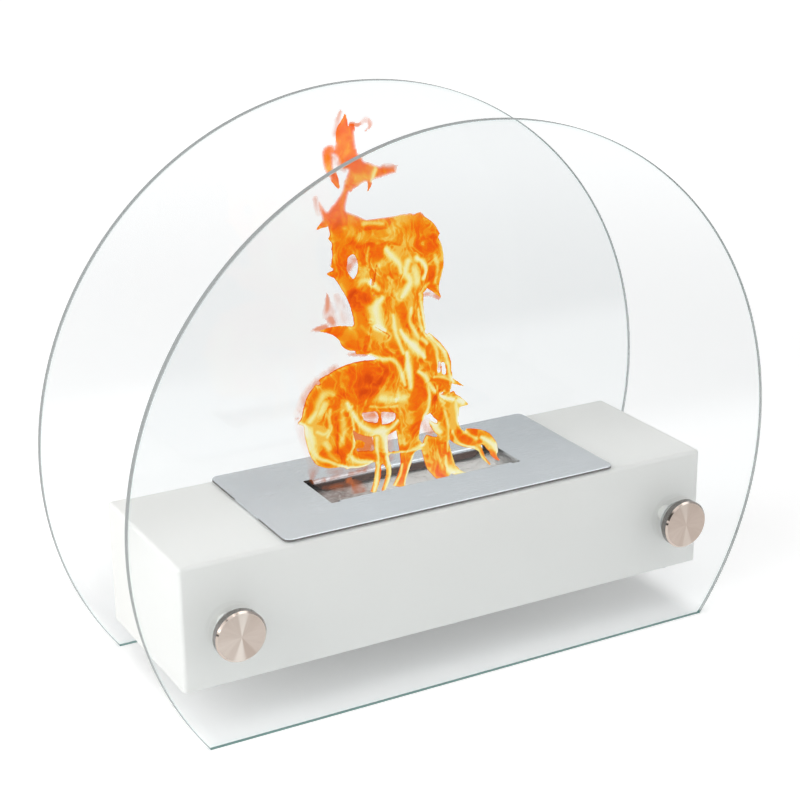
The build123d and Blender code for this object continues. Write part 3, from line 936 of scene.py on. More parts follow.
flame = {
    "flatness": 0.25,
    "voxel": 0.65,
    "step": 1.2,
    "waver": 1.0,
    "waverScale": 46.0,
    "ridgeWaver": 1.3,
    "keepWhenShut": 0.02,
    "rimFacing": 0.3,
    "depth": 0.8,
    "depthTurn": 2.4,
    "ringCorners": 20,
    "smoothing": 0.6,
    "smoothPasses": 5,
    "streakStep": 0.5,
    "streakReach": 2.2,
    "faintest": 0.004,  # the haze's sheet is cut away where it is fainter
    "tongueSeed": 3.0,
    "heatSeed": 8.0,
    # x, z and half width along each tongue, in mm
    "tongues": [
        [(-36, 286, 5), (-38, 294, 6.5), (-38.5, 300, 6.2), (-40, 306, 4.2), (-39, 311, 2),
         (-38.7, 315, 0.4)],
        [(-36, 300, 4), (-34.5, 305, 3), (-34, 309, 1.6)],
        [(-46, 296, 3.4), (-49.5, 296, 3.8), (-49.8, 291, 3.8), (-48.5, 285, 3.2), (-46, 280, 2.4),
         (-43.5, 275, 0.9)],
        [(-45, 297, 3), (-42, 293, 3)],
        [(-34, 292, 4.4), (-33, 286, 5.4)],
        [(-40, 277, 2.2), (-35, 280, 6), (-29, 282.5, 6.4), (-22, 281.5, 4.6), (-14, 281, 3), (-8, 281, 2)],
        [(-38, 274, 3), (-33, 278, 4)],
        [(-25, 277, 1.8), (-26, 273, 1.2), (-26.8, 271, 0.5)],
        [(-38.5, 279, 2.4), (-40, 272, 3), (-43, 266, 4.2), (-45, 260, 6.8), (-43, 254, 8), (-41, 248, 8)],
        [(-51, 259, 3.6), (-54, 264, 2.5), (-55.5, 269, 1.7), (-56, 272, 0.6)],
        [(-50, 258, 3.4), (-54, 256.5, 2.3), (-57.5, 255, 1.1), (-59, 254, 0.4)],
        [(-45, 254, 6), (-47, 249, 4.2), (-50.5, 246.5, 1.4)],
        [(-42, 259, 4), (-37, 255, 5.4), (-32, 251, 6.4)],
        [(-43, 247, 6), (-44.5, 241, 5.2), (-46, 236, 3.6), (-48.6, 231, 1.9)],
        [(-45, 228, 3.6), (-49, 228, 2), (-52.5, 228.5, 0.6)],
        [(-48.5, 230, 2), (-45, 226.5, 3.4), (-41, 222, 4.6), (-37.5, 216, 4.8), (-35, 209, 4.6),
         (-32.5, 202, 5), (-31, 195, 6)],
        [(-41, 247, 7), (-38, 241, 6.6), (-36, 237.5, 4.6)],
        [(-42.5, 240, 4), (-42, 234, 2.8), (-42.2, 229, 2.6), (-41, 224, 3.4)],
        [(-33, 252, 6), (-32, 243, 6), (-30.5, 233, 3.4), (-30, 226, 4.6), (-32, 218, 6), (-30, 208, 6),
         (-28, 198, 6)],
        [(-27, 243, 6), (-25, 232, 6), (-25, 222, 6)],
        [(-30, 249, 7), (-20, 248.5, 7.4), (-8, 249, 7.2), (2, 250, 6.8), (7.5, 254.5, 2.4)],
        [(-22, 238, 10), (-10, 238, 12), (2, 238, 11.5), (9, 237, 10)],
        [(8, 240, 8.4), (11.5, 232, 9), (13, 223, 8.6), (14, 215, 6), (17, 208, 2), (21, 202.5, 0.5)],
        [(-24, 224, 10), (-12, 222, 13), (2, 220, 12), (8, 218, 9)],
        [(4, 214, 6), (10, 213.5, 4.6)],
        [(2, 248, 8), (9, 244, 7), (14, 238, 6)],
        [(-44, 146, 3), (-45.5, 141, 2.4)],
        [(-30, 196, 5), (-22, 192, 6), (-14, 187, 6)],
        [(-57, 163, 7), (-52, 165, 7)],
        [(-22, 214, 14), (-16, 205, 20), (-14, 196, 20), (-18, 190, 15)],
        [(0, 208, 8), (0, 200, 8), (1, 192, 8), (2, 186, 8)],
        [(-28, 192, 9), (-38, 190, 8), (-44, 193.5, 4.6), (-50, 196, 2.6), (-58, 197, 0.6)],
        [(-36, 184.5, 5.4), (-30, 185, 7), (-22, 185, 9)],
        [(-26, 181, 3), (-20, 179, 5), (-13, 177, 7)],
        [(-18, 176, 2.4), (-23, 177.4, 1.4), (-27, 178.4, 0.6)],
        [(-8, 190, 17), (-4, 180, 14), (0, 170, 15), (2, 160, 15), (4, 150, 14)],
        [(9, 183, 3), (17, 175, 3.2), (22, 168, 2.6), (23.6, 160, 2.2), (23.5, 154, 3), (20, 148, 5)],
        [(12, 178, 3), (14.5, 170, 3), (14.5, 162, 3)],
        [(18.6, 170, 1), (18.9, 163, 0.8), (18.7, 157, 1.2)],
        [(14, 155, 5), (19, 153, 5), (20, 148, 6)],
        [(24, 154, 2.4), (29, 151.5, 1.6), (35, 148, 0.7)],
        [(-54, 157, 12), (-45, 161, 13), (-34, 162, 14), (-22, 160, 14.5), (-10, 159, 14)],
        [(-47, 160, 11.5), (-56, 152, 12), (-58, 142, 11), (-56, 132, 11.4), (-53, 126, 11.8),
         (-44, 120, 7)],
        [(-56, 163, 6), (-61, 157, 6.4), (-65, 150, 5.2), (-69, 146, 3), (-74, 145.4, 0.6)],
        [(-60, 127, 6.4), (-61.5, 125.5, 4)],
        [(-44, 149, 7), (-34, 148.5, 5), (-22, 147.5, 4.6), (-10, 146, 6)],
        [(-44, 119.5, 6.2), (-38, 116.5, 5), (-31, 114.5, 3.4), (-25, 114.5, 1.2)],
        [(-43, 118, 6), (-35, 117, 5), (-29, 116.6, 4.4), (-23, 116, 3.4)],
        [(-40, 124, 4), (-36, 126, 3), (-31, 124, 2)],
        [(-41, 124, 5), (-43, 133, 4.6), (-43.5, 142, 4)],
        [(-43, 150, 4.4), (-38.5, 142, 4.2), (-33, 136, 4.6), (-26, 132.5, 4.6), (-19, 131, 4),
         (-11, 133, 3.4), (-8, 137, 2)],
        [(-37, 146, 3), (-33, 140, 2.4)],
        [(-22.6, 146, 2.4), (-21.4, 140, 1.2), (-21.5, 135, 2)],
        [(0, 150, 12), (-1, 140, 10), (-2.4, 130, 8.2), (-2.4, 121, 7), (-3.2, 113, 5), (-4.8, 106, 3.6),
         (-7.5, 99, 3.6),
         (-9.2, 94, 4.6)],
        [(8, 150, 10), (11, 142, 8), (13, 137, 5)],
        [(4, 140, 6), (4.6, 132, 3)],
        [(12, 147, 6), (15, 140, 5.4), (18, 133, 3.6)],
        [(-18, 117, 1.1), (-9, 116.5, 1.2), (0, 116, 2), (6, 118, 3.4)],
        [(-22.6, 132, 3.4), (-22.8, 120, 2.6), (-22.3, 110, 2.3), (-23.3, 102, 2.4), (-26, 94, 2.2)],
        [(-19.5, 130, 3.4), (-18.6, 120, 2.7), (-17.2, 112, 2.5), (-15.8, 106, 2.1), (-17.2, 100, 2.1),
         (-20, 94, 1.8)],
        [(8, 119, 4), (13, 113, 7.6), (17, 106, 9), (20, 100, 7.6), (24, 95.5, 6)],
        [(20, 116, 4), (22, 109, 4.4), (24, 102, 4.4), (26, 96, 4)],
        [(27, 98, 3), (31, 95, 2), (37, 93.5, 0.6)],
        [(8, 121, 3), (15, 117.5, 3.6), (22, 117, 3)],
        [(10.4, 132.4, 1), (14, 128, 2.4), (18, 124, 3), (22, 121.4, 3)],
        [(18, 146, 7), (19.5, 136, 5.4), (21, 126, 3.8), (22, 116, 2.2), (22, 109, 2)],
        [(23, 145, 6), (25.4, 136, 6.2), (26, 127, 5.2), (29.5, 119, 5), (36, 114, 4.4),
         (42, 110.5, 3.4), (46, 106, 1.8)],
        [(28, 141, 4), (33, 138.5, 2.8), (38, 136.6, 0.6)],
        [(35, 121, 1.6), (42, 117.6, 3.2), (49, 113, 4.2), (53.5, 107, 4), (56, 101, 2.2)],
        [(46, 106, 1.8), (48, 101, 1.4), (53, 95, 0.8)],
        [(53, 104, 2.4), (55.5, 99.5, 1.6), (58.5, 97, 0.8)],
    ],
    # heat at the middle of each bright streak, with x, z and half width along it, in mm
    "streaks": [
        (0.85, [(-71, 145, 1.2), (-67, 140, 2.4), (-65, 133, 1.8), (-63.5, 126, 1.4), (-54, 119.5, 1),
                (-47, 115.5, 1), (-41, 112.8, 1), (-35, 111.8, 1), (-27, 113, 0.9)]),
        (0.75, [(-66, 146, 1), (-62, 152, 1.6), (-59, 158, 2), (-55, 161.5, 2), (-52, 160, 1.2)]),
        (0.85, [(-60, 150, 2.2), (-57, 155, 2.4)]),
        (0.7, [(-54, 151, 1), (-55, 145, 0.8), (-53, 140, 0.8), (-56, 135, 0.7)]),
        (0.6, [(-62, 139, 0.8), (-57, 137, 0.8), (-54, 142, 1), (-56, 148, 1.2)]),
        (0.75, [(-40, 150, 0.9), (-39, 142, 0.9), (-38.5, 132, 0.9), (-40, 124, 1), (-43, 119, 1)]),
        (0.55, [(-47, 128, 1.6), (-45, 138, 1.8), (-46, 148, 1.2)]),
        (0.6, [(-57, 131, 1.5), (-54, 124, 1.5), (-49, 119, 1)]),
        (0.85, [(-42, 121, 1.2), (-39, 117.5, 1.5), (-34, 115, 1.2), (-27, 114, 0.8)]),
        (0.95, [(-43, 153, 1), (-39.5, 147, 1.3), (-37, 142, 1.5), (-33.5, 137, 1.6), (-28, 133.4, 2),
                (-21, 131, 2.6),
                (-14, 132, 1.2), (-9, 135.5, 0.7)]),
        (0.95, [(-20, 131, 2.2), (-18, 124, 1.6), (-17.5, 116, 1.3), (-15.5, 108, 1.2), (-15.5, 103, 1.2),
                (-18, 97, 1.1), (-19, 93, 0.9)]),
        (0.85, [(-23.5, 128, 0.9), (-23, 118, 0.8), (-22.5, 110, 0.8), (-23.5, 103, 0.9), (-26, 94, 0.9)]),
        (0.7, [(-22, 152, 2), (-14, 150, 2.4), (-6, 149, 2)]),
        (0.6, [(-28, 148, 0.8), (-20, 145.5, 0.8), (-10, 144.5, 0.8)]),
        (0.9, [(-27, 178, 0.9), (-20, 174.5, 1.1), (-14, 173, 1.3), (-10, 168, 1.5), (-7.5, 162, 1.5),
               (-6, 157, 0.8)]),
        (1.0, [(-5, 176, 1.2), (-4, 168, 2), (-3, 160, 2.2), (-2.5, 155, 1.3)]),
        (1.0, [(-9, 190, 1), (-4, 183, 1.6), (1, 178, 2.3), (5, 174, 2.2), (7, 171.5, 0.9)]),
        (0.85, [(-14, 200, 0.9), (-13, 192, 1.1), (-10, 184, 1.1), (-7, 176, 0.9)]),
        (0.85, [(-2, 202, 0.9), (-3, 195, 1), (0, 189, 1.2), (5, 183, 1.4), (9, 179, 0.9)]),
        (0.9, [(5, 205, 0.9), (7, 195, 1), (9, 187, 1), (12, 181, 1.2), (17, 176, 1), (21, 170, 1),
               (23, 163, 0.9),
               (24.5, 156, 0.9), (28, 152, 0.7)]),
        (0.75, [(3, 200, 0.9), (5, 190, 1), (9, 183, 1), (14, 177, 1), (16.5, 168, 0.9), (17, 160, 0.8)]),
        (1.0, [(3, 164, 1.2), (7, 160, 1.6), (10, 154, 1.8), (14, 149.5, 1.6), (19, 145, 1.3),
               (26, 142, 1.3),
               (33, 139, 1.4)]),
        (0.8, [(13, 158, 0.7), (18, 157, 0.9), (23, 155, 0.8), (27, 153, 0.7)]),
        (0.9, [(9, 156, 1.2), (9.5, 148, 1), (9.5, 141, 0.9), (7.5, 135, 0.8), (6.5, 131, 0.5)]),
        (0.7, [(15, 152, 0.7), (16, 146, 0.8), (20, 141, 0.7)]),
        (0.95, [(11.5, 131, 0.8), (15, 127, 1.5), (18, 123.5, 1.3)]),
        (0.7, [(19, 140, 0.8), (22, 130, 0.9), (23, 120, 0.8), (22.5, 111, 0.7)]),
        (0.75, [(28, 141, 0.9), (29.5, 133, 1), (31, 126, 1), (37, 119, 1), (43, 114.5, 1.1)]),
        (1.0, [(46, 115, 1), (51, 111, 1.8), (55, 106, 1.9), (58, 101, 1.2)]),
        (0.75, [(26, 122, 0.7), (30, 115, 0.7), (37, 110.5, 0.7), (43, 108, 0.7), (46, 103, 0.6),
                (50, 97, 0.5)]),
        (0.8, [(-18, 117, 0.6), (-9, 116.2, 0.6), (-2, 115.8, 0.6), (3, 117, 1.4), (6, 118, 0.8)]),
        (0.9, [(4, 116, 0.9), (0, 111, 0.9), (-2.5, 105, 0.9), (-4, 99, 0.8), (-5, 95, 0.6)]),
        (0.75, [(-7, 108, 0.6), (-8, 102, 0.7), (-12, 95, 0.7)]),
        (0.45, [(-8, 140, 0.9), (-7, 130, 0.9), (-6, 120, 0.9)]),
        (0.95, [(21, 108, 0.8), (21, 103, 1.3), (23, 99, 2), (27, 97, 2), (34, 94.5, 0.7)]),
        (0.45, [(14, 112, 1), (17, 105, 1.2), (20, 100, 1)]),
        (1.0, [(-20, 211, 1.4), (-23.5, 207, 3.4), (-24.5, 201, 4.2), (-23, 196, 3.2), (-19.5, 192, 1.2)]),
        (0.42, [(-29, 247, 5), (-20, 246, 8), (-10, 247, 6)]),
        (0.3, [(-30, 226, 3), (-24, 230, 4), (-18, 222, 4), (-12, 214, 4)]),
        (0.5, [(-17, 222, 1), (-14, 218, 1.4), (-12, 212, 1.6), (-9, 208, 1)]),
        (0.9, [(-4, 229, 1.8), (-6, 224, 2.2), (-3, 218, 2.1), (-6, 212, 1.9), (-10, 209, 1)]),
        (1.0, [(2, 230, 1.3), (6, 227, 1.5), (8, 222, 1.2), (6, 218, 1)]),
        (0.9, [(-17, 238, 1.2), (-14, 234, 1.8), (-10, 229, 1.6), (-9, 224, 1.2)]),
        (0.75, [(0, 224, 2.6), (2, 217, 2.4)]),
        (0.75, [(-34, 219, 1.4), (-31, 222, 1.6), (-26, 220, 1.4), (-22, 216, 1.1)]),
        (0.6, [(-27, 240, 0.8), (-28, 233, 0.9), (-27, 228, 0.8)]),
        (0.65, [(-31, 254, 1), (-25, 253.5, 1), (-18, 252, 0.8)]),
        (0.3, [(-38.5, 279, 0.8), (-41, 273, 0.9), (-42, 267, 0.9), (-43, 262, 0.9), (-42, 257, 1)]),
        (0.35, [(-42, 254, 1.2), (-42, 251, 1.4), (-45, 247, 1)]),
        (0.85, [(-22, 283.5, 1.1), (-23.5, 280, 1.2), (-24.5, 277, 0.7)]),
        (0.3, [(-36, 281, 1.5), (-30, 280, 1.8), (-26, 279, 1.4)]),
        (0.3, [(-48, 297, 1.8), (-50.5, 291, 1.7), (-50, 286, 1.5)]),
        (0.3, [(-40, 302, 2), (-37, 294, 2.4)]),
        (0.6, [(14, 230, 1.1), (16, 222, 1.1), (15, 214, 0.9)]),
        (0.7, [(11, 214, 0.9), (6, 210, 1.1), (5, 205, 1)]),
        (0.5, [(-33, 196, 0.8), (-29, 191, 0.8)]),
        (0.5, [(-27, 187, 0.7), (-28, 181, 0.8)]),
    ],
    # the same for the darker, redder patches
    "shadows": [
        (0.75, [(-34, 207, 3), (-31.5, 199, 4), (-32, 191, 5)]),
        (0.6, [(-46, 193, 4), (-39, 188, 5), (-29, 185, 4)]),
        (0.5, [(-54, 166, 4), (-45, 170, 5), (-35, 171, 5)]),
        (0.5, [(-42, 163, 5), (-36, 165, 5)]),
        (0.7, [(-44, 248, 5), (-42, 239, 6), (-41, 229, 6), (-38, 219, 5), (-35, 208, 5), (-34, 198, 4)]),
        (0.4, [(-39, 307, 4), (-38, 297, 6), (-36, 287, 6)]),
        (0.4, [(-40, 275, 3), (-44, 264, 5), (-46, 256, 5)]),
        (0.35, [(-46, 160, 4), (-38, 158, 4)]),
        (1.0, [(-39, 246, 2), (-35, 243, 1.8)]),
        (0.6, [(-6, 247, 3), (3, 247, 3.4), (10, 243, 2.8), (15, 236, 1.6)]),
        (0.6, [(-9, 204, 2.4), (-7, 198, 2.4), (-6, 192, 1.8)]),
        (1.0, [(3, 188, 0.9), (4.5, 184, 0.8)]),
        (0.9, [(-31, 166, 3), (-24, 163, 2.6)]),
        (0.8, [(-35, 158, 2.4), (-27, 156, 2)]),
        (0.7, [(-40, 190, 3), (-35, 184, 3)]),
        (0.8, [(-33, 212, 2.6), (-28, 210, 2)]),
        (0.7, [(14, 147, 1.6), (13, 143, 1.2)]),
        (0.6, [(19, 138, 1.2), (17, 132, 1)]),
        (0.6, [(2, 142, 2), (4, 136, 2), (1, 127, 2)]),
        (0.7, [(-50, 145, 0.8), (-49, 134, 0.9), (-50, 125, 0.9)]),
        (0.9, [(-21, 109, 0.5), (-21, 102, 0.6), (-22, 95, 0.6)]),
        (0.5, [(-22, 170, 1.6), (-15, 165, 2)]),
    ],
    # soft glow round the left side, the tips and the gaps, with how solid it is at the middle
    "haze": [
        (0.8, [(-50.5, 218, 0.5), (-50.2, 211, 3), (-49.5, 204, 6), (-47, 199, 4.5)]),
        (0.3, [(-45, 214, 3), (-42, 207, 5), (-40, 200, 5)]),
        (0.9, [(-52, 197, 3), (-58, 196.8, 2.4), (-61, 196.4, 1)]),
        (0.14, [(-62, 118, 5), (-65, 130, 6), (-69, 141, 6), (-70, 150, 6)]),
        (0.5, [(-70, 147, 4), (-67.5, 156, 4.6), (-61.5, 163, 5), (-54.5, 168, 5), (-47, 171.5, 4.6)]),
        (0.9, [(-33, 308, 2.2), (-28, 307, 1.7), (-24, 309, 3.2), (-21.5, 306, 2.2), (-24, 303.5, 1.3)]),
        (0.7, [(-47, 291, 4), (-43, 289, 5), (-38, 285, 4)]),
        (0.9, [(-14, 281.5, 4), (-8, 281.5, 3.4), (-5, 282.5, 1)]),
        (0.6, [(-42, 304, 4), (-40.5, 311, 3), (-39, 315.5, 1.6)]),
        (0.4, [(-54.5, 262, 3), (-56, 270, 3)]),
        (1.6, [(-38, 138, 6), (-33, 130, 11), (-29, 124, 10), (-27, 118, 7)]),
        (0.6, [(-35, 145, 5), (-28, 142, 7), (-20, 140, 6), (-12, 139, 5)]),
        (0.8, [(-33, 135, 5), (-24, 134, 5), (-17, 132, 5)]),
        (0.4, [(-14, 128, 5), (-13, 121, 4), (-12, 112, 4)]),
        (0.5, [(7, 131, 5), (10, 128, 6), (14, 123, 5)]),
        (1.1, [(-46, 232, 3), (-40, 229, 6), (-34, 233, 4)]),
        (0.8, [(8, 206, 2), (14, 206, 2.2), (20, 203, 2.2)]),
        (0.4, [(17, 168, 2), (20, 162, 3)]),
        (0.6, [(-38, 179, 2), (-33, 178, 2), (-27, 176.5, 1.6)]),
        (0.35, [(-56, 102, 2), (-47, 101, 4), (-40, 100, 5)]),
        (1.0, [(-40, 103, 5), (-36, 99, 7), (-33, 95, 6)]),
        (0.55, [(-62, 107, 2.4), (-50, 107, 2.8), (-38, 107.2, 3), (-29, 107.5, 2.8)]),
        (0.5, [(-40, 112, 4), (-30, 111, 5), (-26, 108, 4)]),
        (0.35, [(-60, 119, 5), (-62, 113, 5), (-63, 109, 3)]),
        (0.4, [(-52, 111, 4), (-42, 109, 5)]),
    ],
    "hazeArea": {"low": (-84.0, 92.5), "high": (64.0, 320.0), "behind": 4.0, "gap": 0.9},
}


def pathCurve(name):
    # one smooth Bezier for each path, with its half width as the point's radius, in metres
    curve = bpy.data.curves.new(name, "CURVE")
    curve.dimensions = "3D"
    for index, path in enumerate(flame[name]):
        # a tongue's depth sets it apart from its neighbours, and a streak's depth holds its heat
        depth = flame["depth"] * math.sin(flame["depthTurn"] * index)
        if isinstance(path, tuple):
            depth, path = path
        spline = curve.splines.new("BEZIER")
        spline.bezier_points.add(len(path) - 1)
        for point, (x, z, half) in zip(spline.bezier_points, path):
            point.co = Vector((x, depth, z)) * mm
            point.radius = half * mm
            point.handle_left_type = point.handle_right_type = "AUTO"
    return addToScene(name, curve)


def drift(wire, amount, scale, seed):
    # a slow sideways shift, along X and Z only
    inputs = {"Vector": positionOf(wire), "W": seed, "Scale": scale, "Detail": 2.0}
    cloud = wire.node("ShaderNodeTexNoise", {"noise_dimensions": "4D"}, inputs, output=1)
    centred = vectorMath(wire, "SUBTRACT", cloud, (0.5, 0.5, 0.5))
    return vectorMath(wire, "SCALE", vectorMath(wire, "MULTIPLY", centred, (2, 0, 2)), amount)


def tongueTree():
    floats = ["Step", "Flatness", "Waver", "Waver Scale"]
    wire, given = newTree("flameTongues", Object=["Paths"], Float=floats)
    paths = wire.node("GeometryNodeObjectInfo", {}, {"Object": given("Paths")}).out("Geometry")
    inputs = {"Curve": paths, "Length": given("Step")}
    points = wire.node("GeometryNodeResampleCurve", {"mode": "LENGTH"}, inputs)
    loose = shifted(wire, points, drift(wire, given("Waver"), given("Waver Scale"), flame["tongueSeed"]))
    depth = positionOf(wire).axis("Y")
    section = ring(wire, flame["ringCorners"], 1.0)
    sizes = {"Scale": wire.node("GeometryNodeInputRadius")}
    tube = tubeAlong(wire, marked(wire, loose, "depth", depth), section, sizes)
    middle = wire.node("GeometryNodeInputNamedAttribute", {"data_type": "FLOAT"}, {"Name": "depth"})
    squeeze = (middle - depth) * (1.0 - given("Flatness"))
    return endTree(wire, shifted(wire, tube, combined(wire, y=squeeze)), finishes["flame"])


def nearField(wire, paths, step, reach, here):
    # the heat of the nearest path, fading with the distance from it
    lines = wire.node("GeometryNodeObjectInfo", {}, {"Object": paths}).out("Geometry")
    dots = wire.node("GeometryNodeCurveToPoints", {"mode": "LENGTH"}, {"Curve": lines, "Length": step})
    nearest = wire.node("GeometryNodeSampleNearest", {}, {"Geometry": dots, "Sample Position": here})

    def there(kind, field):
        inputs = {"Geometry": dots, "Value": field, "Index": nearest}
        return wire.node("GeometryNodeSampleIndex", {"data_type": kind}, inputs)

    spot = there("FLOAT_VECTOR", positionOf(wire))
    half = there("FLOAT", wire.node("GeometryNodeInputRadius"))
    far = vectorMath(wire, "LENGTH", onSheet(wire, vectorMath(wire, "SUBTRACT", here, spot)))
    return spot.axis("Y") / mm * smoothStep(1.0 - far / (half * reach), 0.0, 1.0)


def heatTree():
    # marks each point with the streaks and shadows near it, and how far it is from the rim
    floats = ["Step", "Reach", "Waver", "Waver Scale", "Rim Facing"]
    wire, given = newTree("flameHeat", Geometry=["Body"], Object=["Streaks", "Shadows"], Float=floats)
    shift = drift(wire, given("Waver"), given("Waver Scale"), flame["heatSeed"])
    here = onSheet(wire, vectorMath(wire, "ADD", positionOf(wire), shift))
    outward = abs(wire.node("GeometryNodeInputNormal").axis("Y"))
    inputs = {"Geometry": given("Body"), "Selection": wire.math("GREATER_THAN", outward, given("Rim Facing"))}
    rim = wire.node("GeometryNodeDeleteGeometry", {}, inputs)
    rimPoints = wire.node("GeometryNodeProximity", {"target_element": "POINTS"}, {"Geometry": rim})
    geometry = given("Body")
    for name, paths in (("streak", "Streaks"), ("shade", "Shadows")):
        heat = nearField(wire, given(paths), given("Step"), given("Reach"), here)
        geometry = marked(wire, geometry, name, heat)
    inset = rimPoints.out("Distance") / mm
    return endTree(wire, marked(wire, geometry, "inset", inset), finishes["flame"])


def settleFlame(body):
    shadeSmooth(body.data)
    place(body, "burner", "ceramic_wool")
    body.visible_diffuse = False
    body.visible_shadow = False
    body.visible_glossy = False
    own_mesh(body)
    print(body.name, "ready:", len(body.data.polygons), "faces")


def makeFlame():
    tongues, streaks, shadows = (pathCurve(name) for name in ("tongues", "streaks", "shadows"))
    body = grown("flameBody", tongueTree(), {
        "Paths": tongues,
        "Flatness": flame["flatness"],
        "Waver Scale": flame["waverScale"],
        **inMetres(flame, ["Step", "Waver"]),
    })
    remeshed(body, "merged", flame["voxel"])
    softened = body.modifiers.new("softened", "SMOOTH")
    softened.factor = flame["smoothing"]
    softened.iterations = flame["smoothPasses"]
    solidMesh(body)
    setInputs(body.modifiers.new("heat", "NODES"), heatTree(), {
        "Streaks": streaks,
        "Shadows": shadows,
        "Step": flame["streakStep"] * mm,
        "Reach": flame["streakReach"],
        "Waver": flame["ridgeWaver"] * mm,
        "Waver Scale": flame["waverScale"],
        "Rim Facing": flame["rimFacing"],
    })
    solidMesh(body)
    for helper in (tongues, streaks, shadows):
        bpy.data.objects.remove(helper)
    settleFlame(body)


def hazeTree():
    # a sheet behind the flame, kept only where it glows
    floats = ["Width", "Height", "Gap", "Step"]
    wire, given = newTree("flameHaze", Object=["Paths"], Float=floats, Vector=["Middle"])
    width, height, gap = given("Width"), given("Height"), given("Gap")
    inputs = {"Size X": width, "Size Y": height, "Vertices X": width / gap, "Vertices Y": height / gap}
    sheet = wire.node("GeometryNodeMeshGrid", {}, inputs)
    upright = moved(wire, sheet, given("Middle"), (90, 0, 0))
    near = nearField(wire, given("Paths"), given("Step"), 1.0, onSheet(wire, positionOf(wire)))
    faint = wire.math("LESS_THAN", near, flame["faintest"])
    inputs = {"Geometry": marked(wire, upright, "haze", near), "Selection": faint}
    return endTree(wire, wire.node("GeometryNodeDeleteGeometry", {}, inputs), finishes["flameHaze"])


def makeHaze():
    area = flame["hazeArea"]
    (left, low), (right, top) = area["low"], area["high"]
    paths = pathCurve("haze")
    sheet = grown("flameHalo", hazeTree(), {
        "Paths": paths,
        "Width": (right - left) * mm,
        "Height": (top - low) * mm,
        "Gap": area["gap"] * mm,
        "Middle": Vector(((left + right) / 2, area["behind"], (low + top) / 2)) * mm,
        "Step": flame["streakStep"] * mm,
    })
    bpy.data.objects.remove(paths)
    settleFlame(sheet)


makeFlame()
makeHaze()


# ceramic wool in the tank: a soft block with loose fibres on top

wool = {
    "voxel": 2.5,
    "fill": 0.8,
    "crown": 4.0,
    "crownFade": 14.0,
    "lump": 1.1,
    "lumpScale": 55.0,
    "lumpFacing": (0.3, 0.9),  # how far up a face looks where the lumps start and where they are full
    "fibresPerSquareMetre": 150000.0,
    "fibreFacing": 0.8,
    "fibreLength": 11.0,
    "fibreRadius": 0.085,
    "fibrePoints": 7,
    "fibreTilt": 0.04,
    "shortest": 0.4,
    "fibreBend": 3.0,
    "fibreRise": 0.5,
    "bendScale": 170.0,
    "bendMiddle": (0.5, 0.5, 0.42),
    "edgeInset": 7.0,
    "seed": 7,
}
woolLengths = ["Crown", "Crown Fade", "Lump", "Fibre Length", "Fibre Radius", "Fibre Bend", "Fibre Rise"]


def woolTree():
    floats = woolLengths + ["Lump Scale", "Density", "Half Length", "Half Width"]
    wire, given = newTree("ceramicWool", Geometry=["Body"], Float=floats, Int=["Seed"])
    here = positionOf(wire)
    upward = wire.node("GeometryNodeInputNormal").axis("Z")
    cloud = noise(here, given("Lump Scale"), detail=3.0)
    across, along = abs(here.axis("X")), abs(here.axis("Y"))
    inset = wire.math("MINIMUM", given("Half Length") - across, given("Half Width") - along)
    crown = given("Crown") * smoothStep(inset / given("Crown Fade"), 0.0, 1.0)
    lift = ((cloud - 0.5) * given("Lump") + crown) * smoothStep(upward, *wool["lumpFacing"])
    lumpy = shifted(wire, given("Body"), combined(wire, z=lift))
    within = wire.math("LESS_THAN", across, given("Half Length"))
    within = within * wire.math("LESS_THAN", along, given("Half Width"))
    within = within * wire.math("GREATER_THAN", upward, wool["fibreFacing"])
    inputs = {"Mesh": lumpy, "Selection": within, "Density": given("Density"), "Seed": given("Seed")}
    dots = wire.node("GeometryNodeDistributePointsOnFaces", {}, inputs)
    end = combined(wire, given("Fibre Length"))
    line = wire.node("GeometryNodeCurvePrimitiveLine", {}, {"End": end})
    strand = wire.node("GeometryNodeResampleCurve", {}, {"Curve": line, "Count": wool["fibrePoints"]})
    tilt = wool["fibreTilt"]
    inputs = {0: (-tilt, -tilt, 0.0), 1: (tilt, tilt, 2 * math.pi), "Seed": given("Seed")}
    turn = wire.node("FunctionNodeRandomValue", {"data_type": "FLOAT_VECTOR"}, inputs)
    inputs = {2: wool["shortest"], 3: 1.0, "Seed": given("Seed")}
    size = wire.node("FunctionNodeRandomValue", {"data_type": "FLOAT"}, inputs, output=1)
    inputs = {"Points": dots, "Instance": strand, "Rotation": turn, "Scale": size}
    strands = wire.node("GeometryNodeInstanceOnPoints", {}, inputs)
    loose = wire.node("GeometryNodeRealizeInstances", {}, {"Geometry": strands})
    cloud = noise(here, wool["bendScale"], detail=1.0, output=1)
    sway = vectorMath(wire, "SUBTRACT", cloud, wool["bendMiddle"])
    reach = combined(wire, given("Fibre Bend"), given("Fibre Bend"), given("Fibre Rise"))
    swayed = shifted(wire, loose, vectorMath(wire, "MULTIPLY", sway, reach))
    fibres = tubeAlong(wire, swayed, ring(wire, 3, given("Fibre Radius")))
    return endTree(wire, joined(wire, lumpy, fibres), finishes["wool"])


def makeWool():
    low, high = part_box("wool_pad")
    body = copyOfNode("wool_pad", "ceramicWoolBlanket", finishes["wool"])
    remeshed(body, "remesh", wool["voxel"])
    solidMesh(body)
    setInputs(body.modifiers.new("fibres", "NODES"), woolTree(), {
        "Lump Scale": wool["lumpScale"],
        "Density": wool["fibresPerSquareMetre"],
        "Half Length": (high.x - low.x) / 2 - wool["edgeInset"] * mm,
        "Half Width": (high.y - low.y) / 2 - wool["edgeInset"] * mm,
        "Seed": wool["seed"],
        **inMetres(wool, woolLengths),
    })
    mesh = solidMesh(body)
    shadeSmooth(mesh)
    place(body, "burner", "ceramic_wool", "wool_pad")
    print("wool ready:", len(mesh.polygons), "faces")


makeWool()


# base screws, with their cross recess and thread

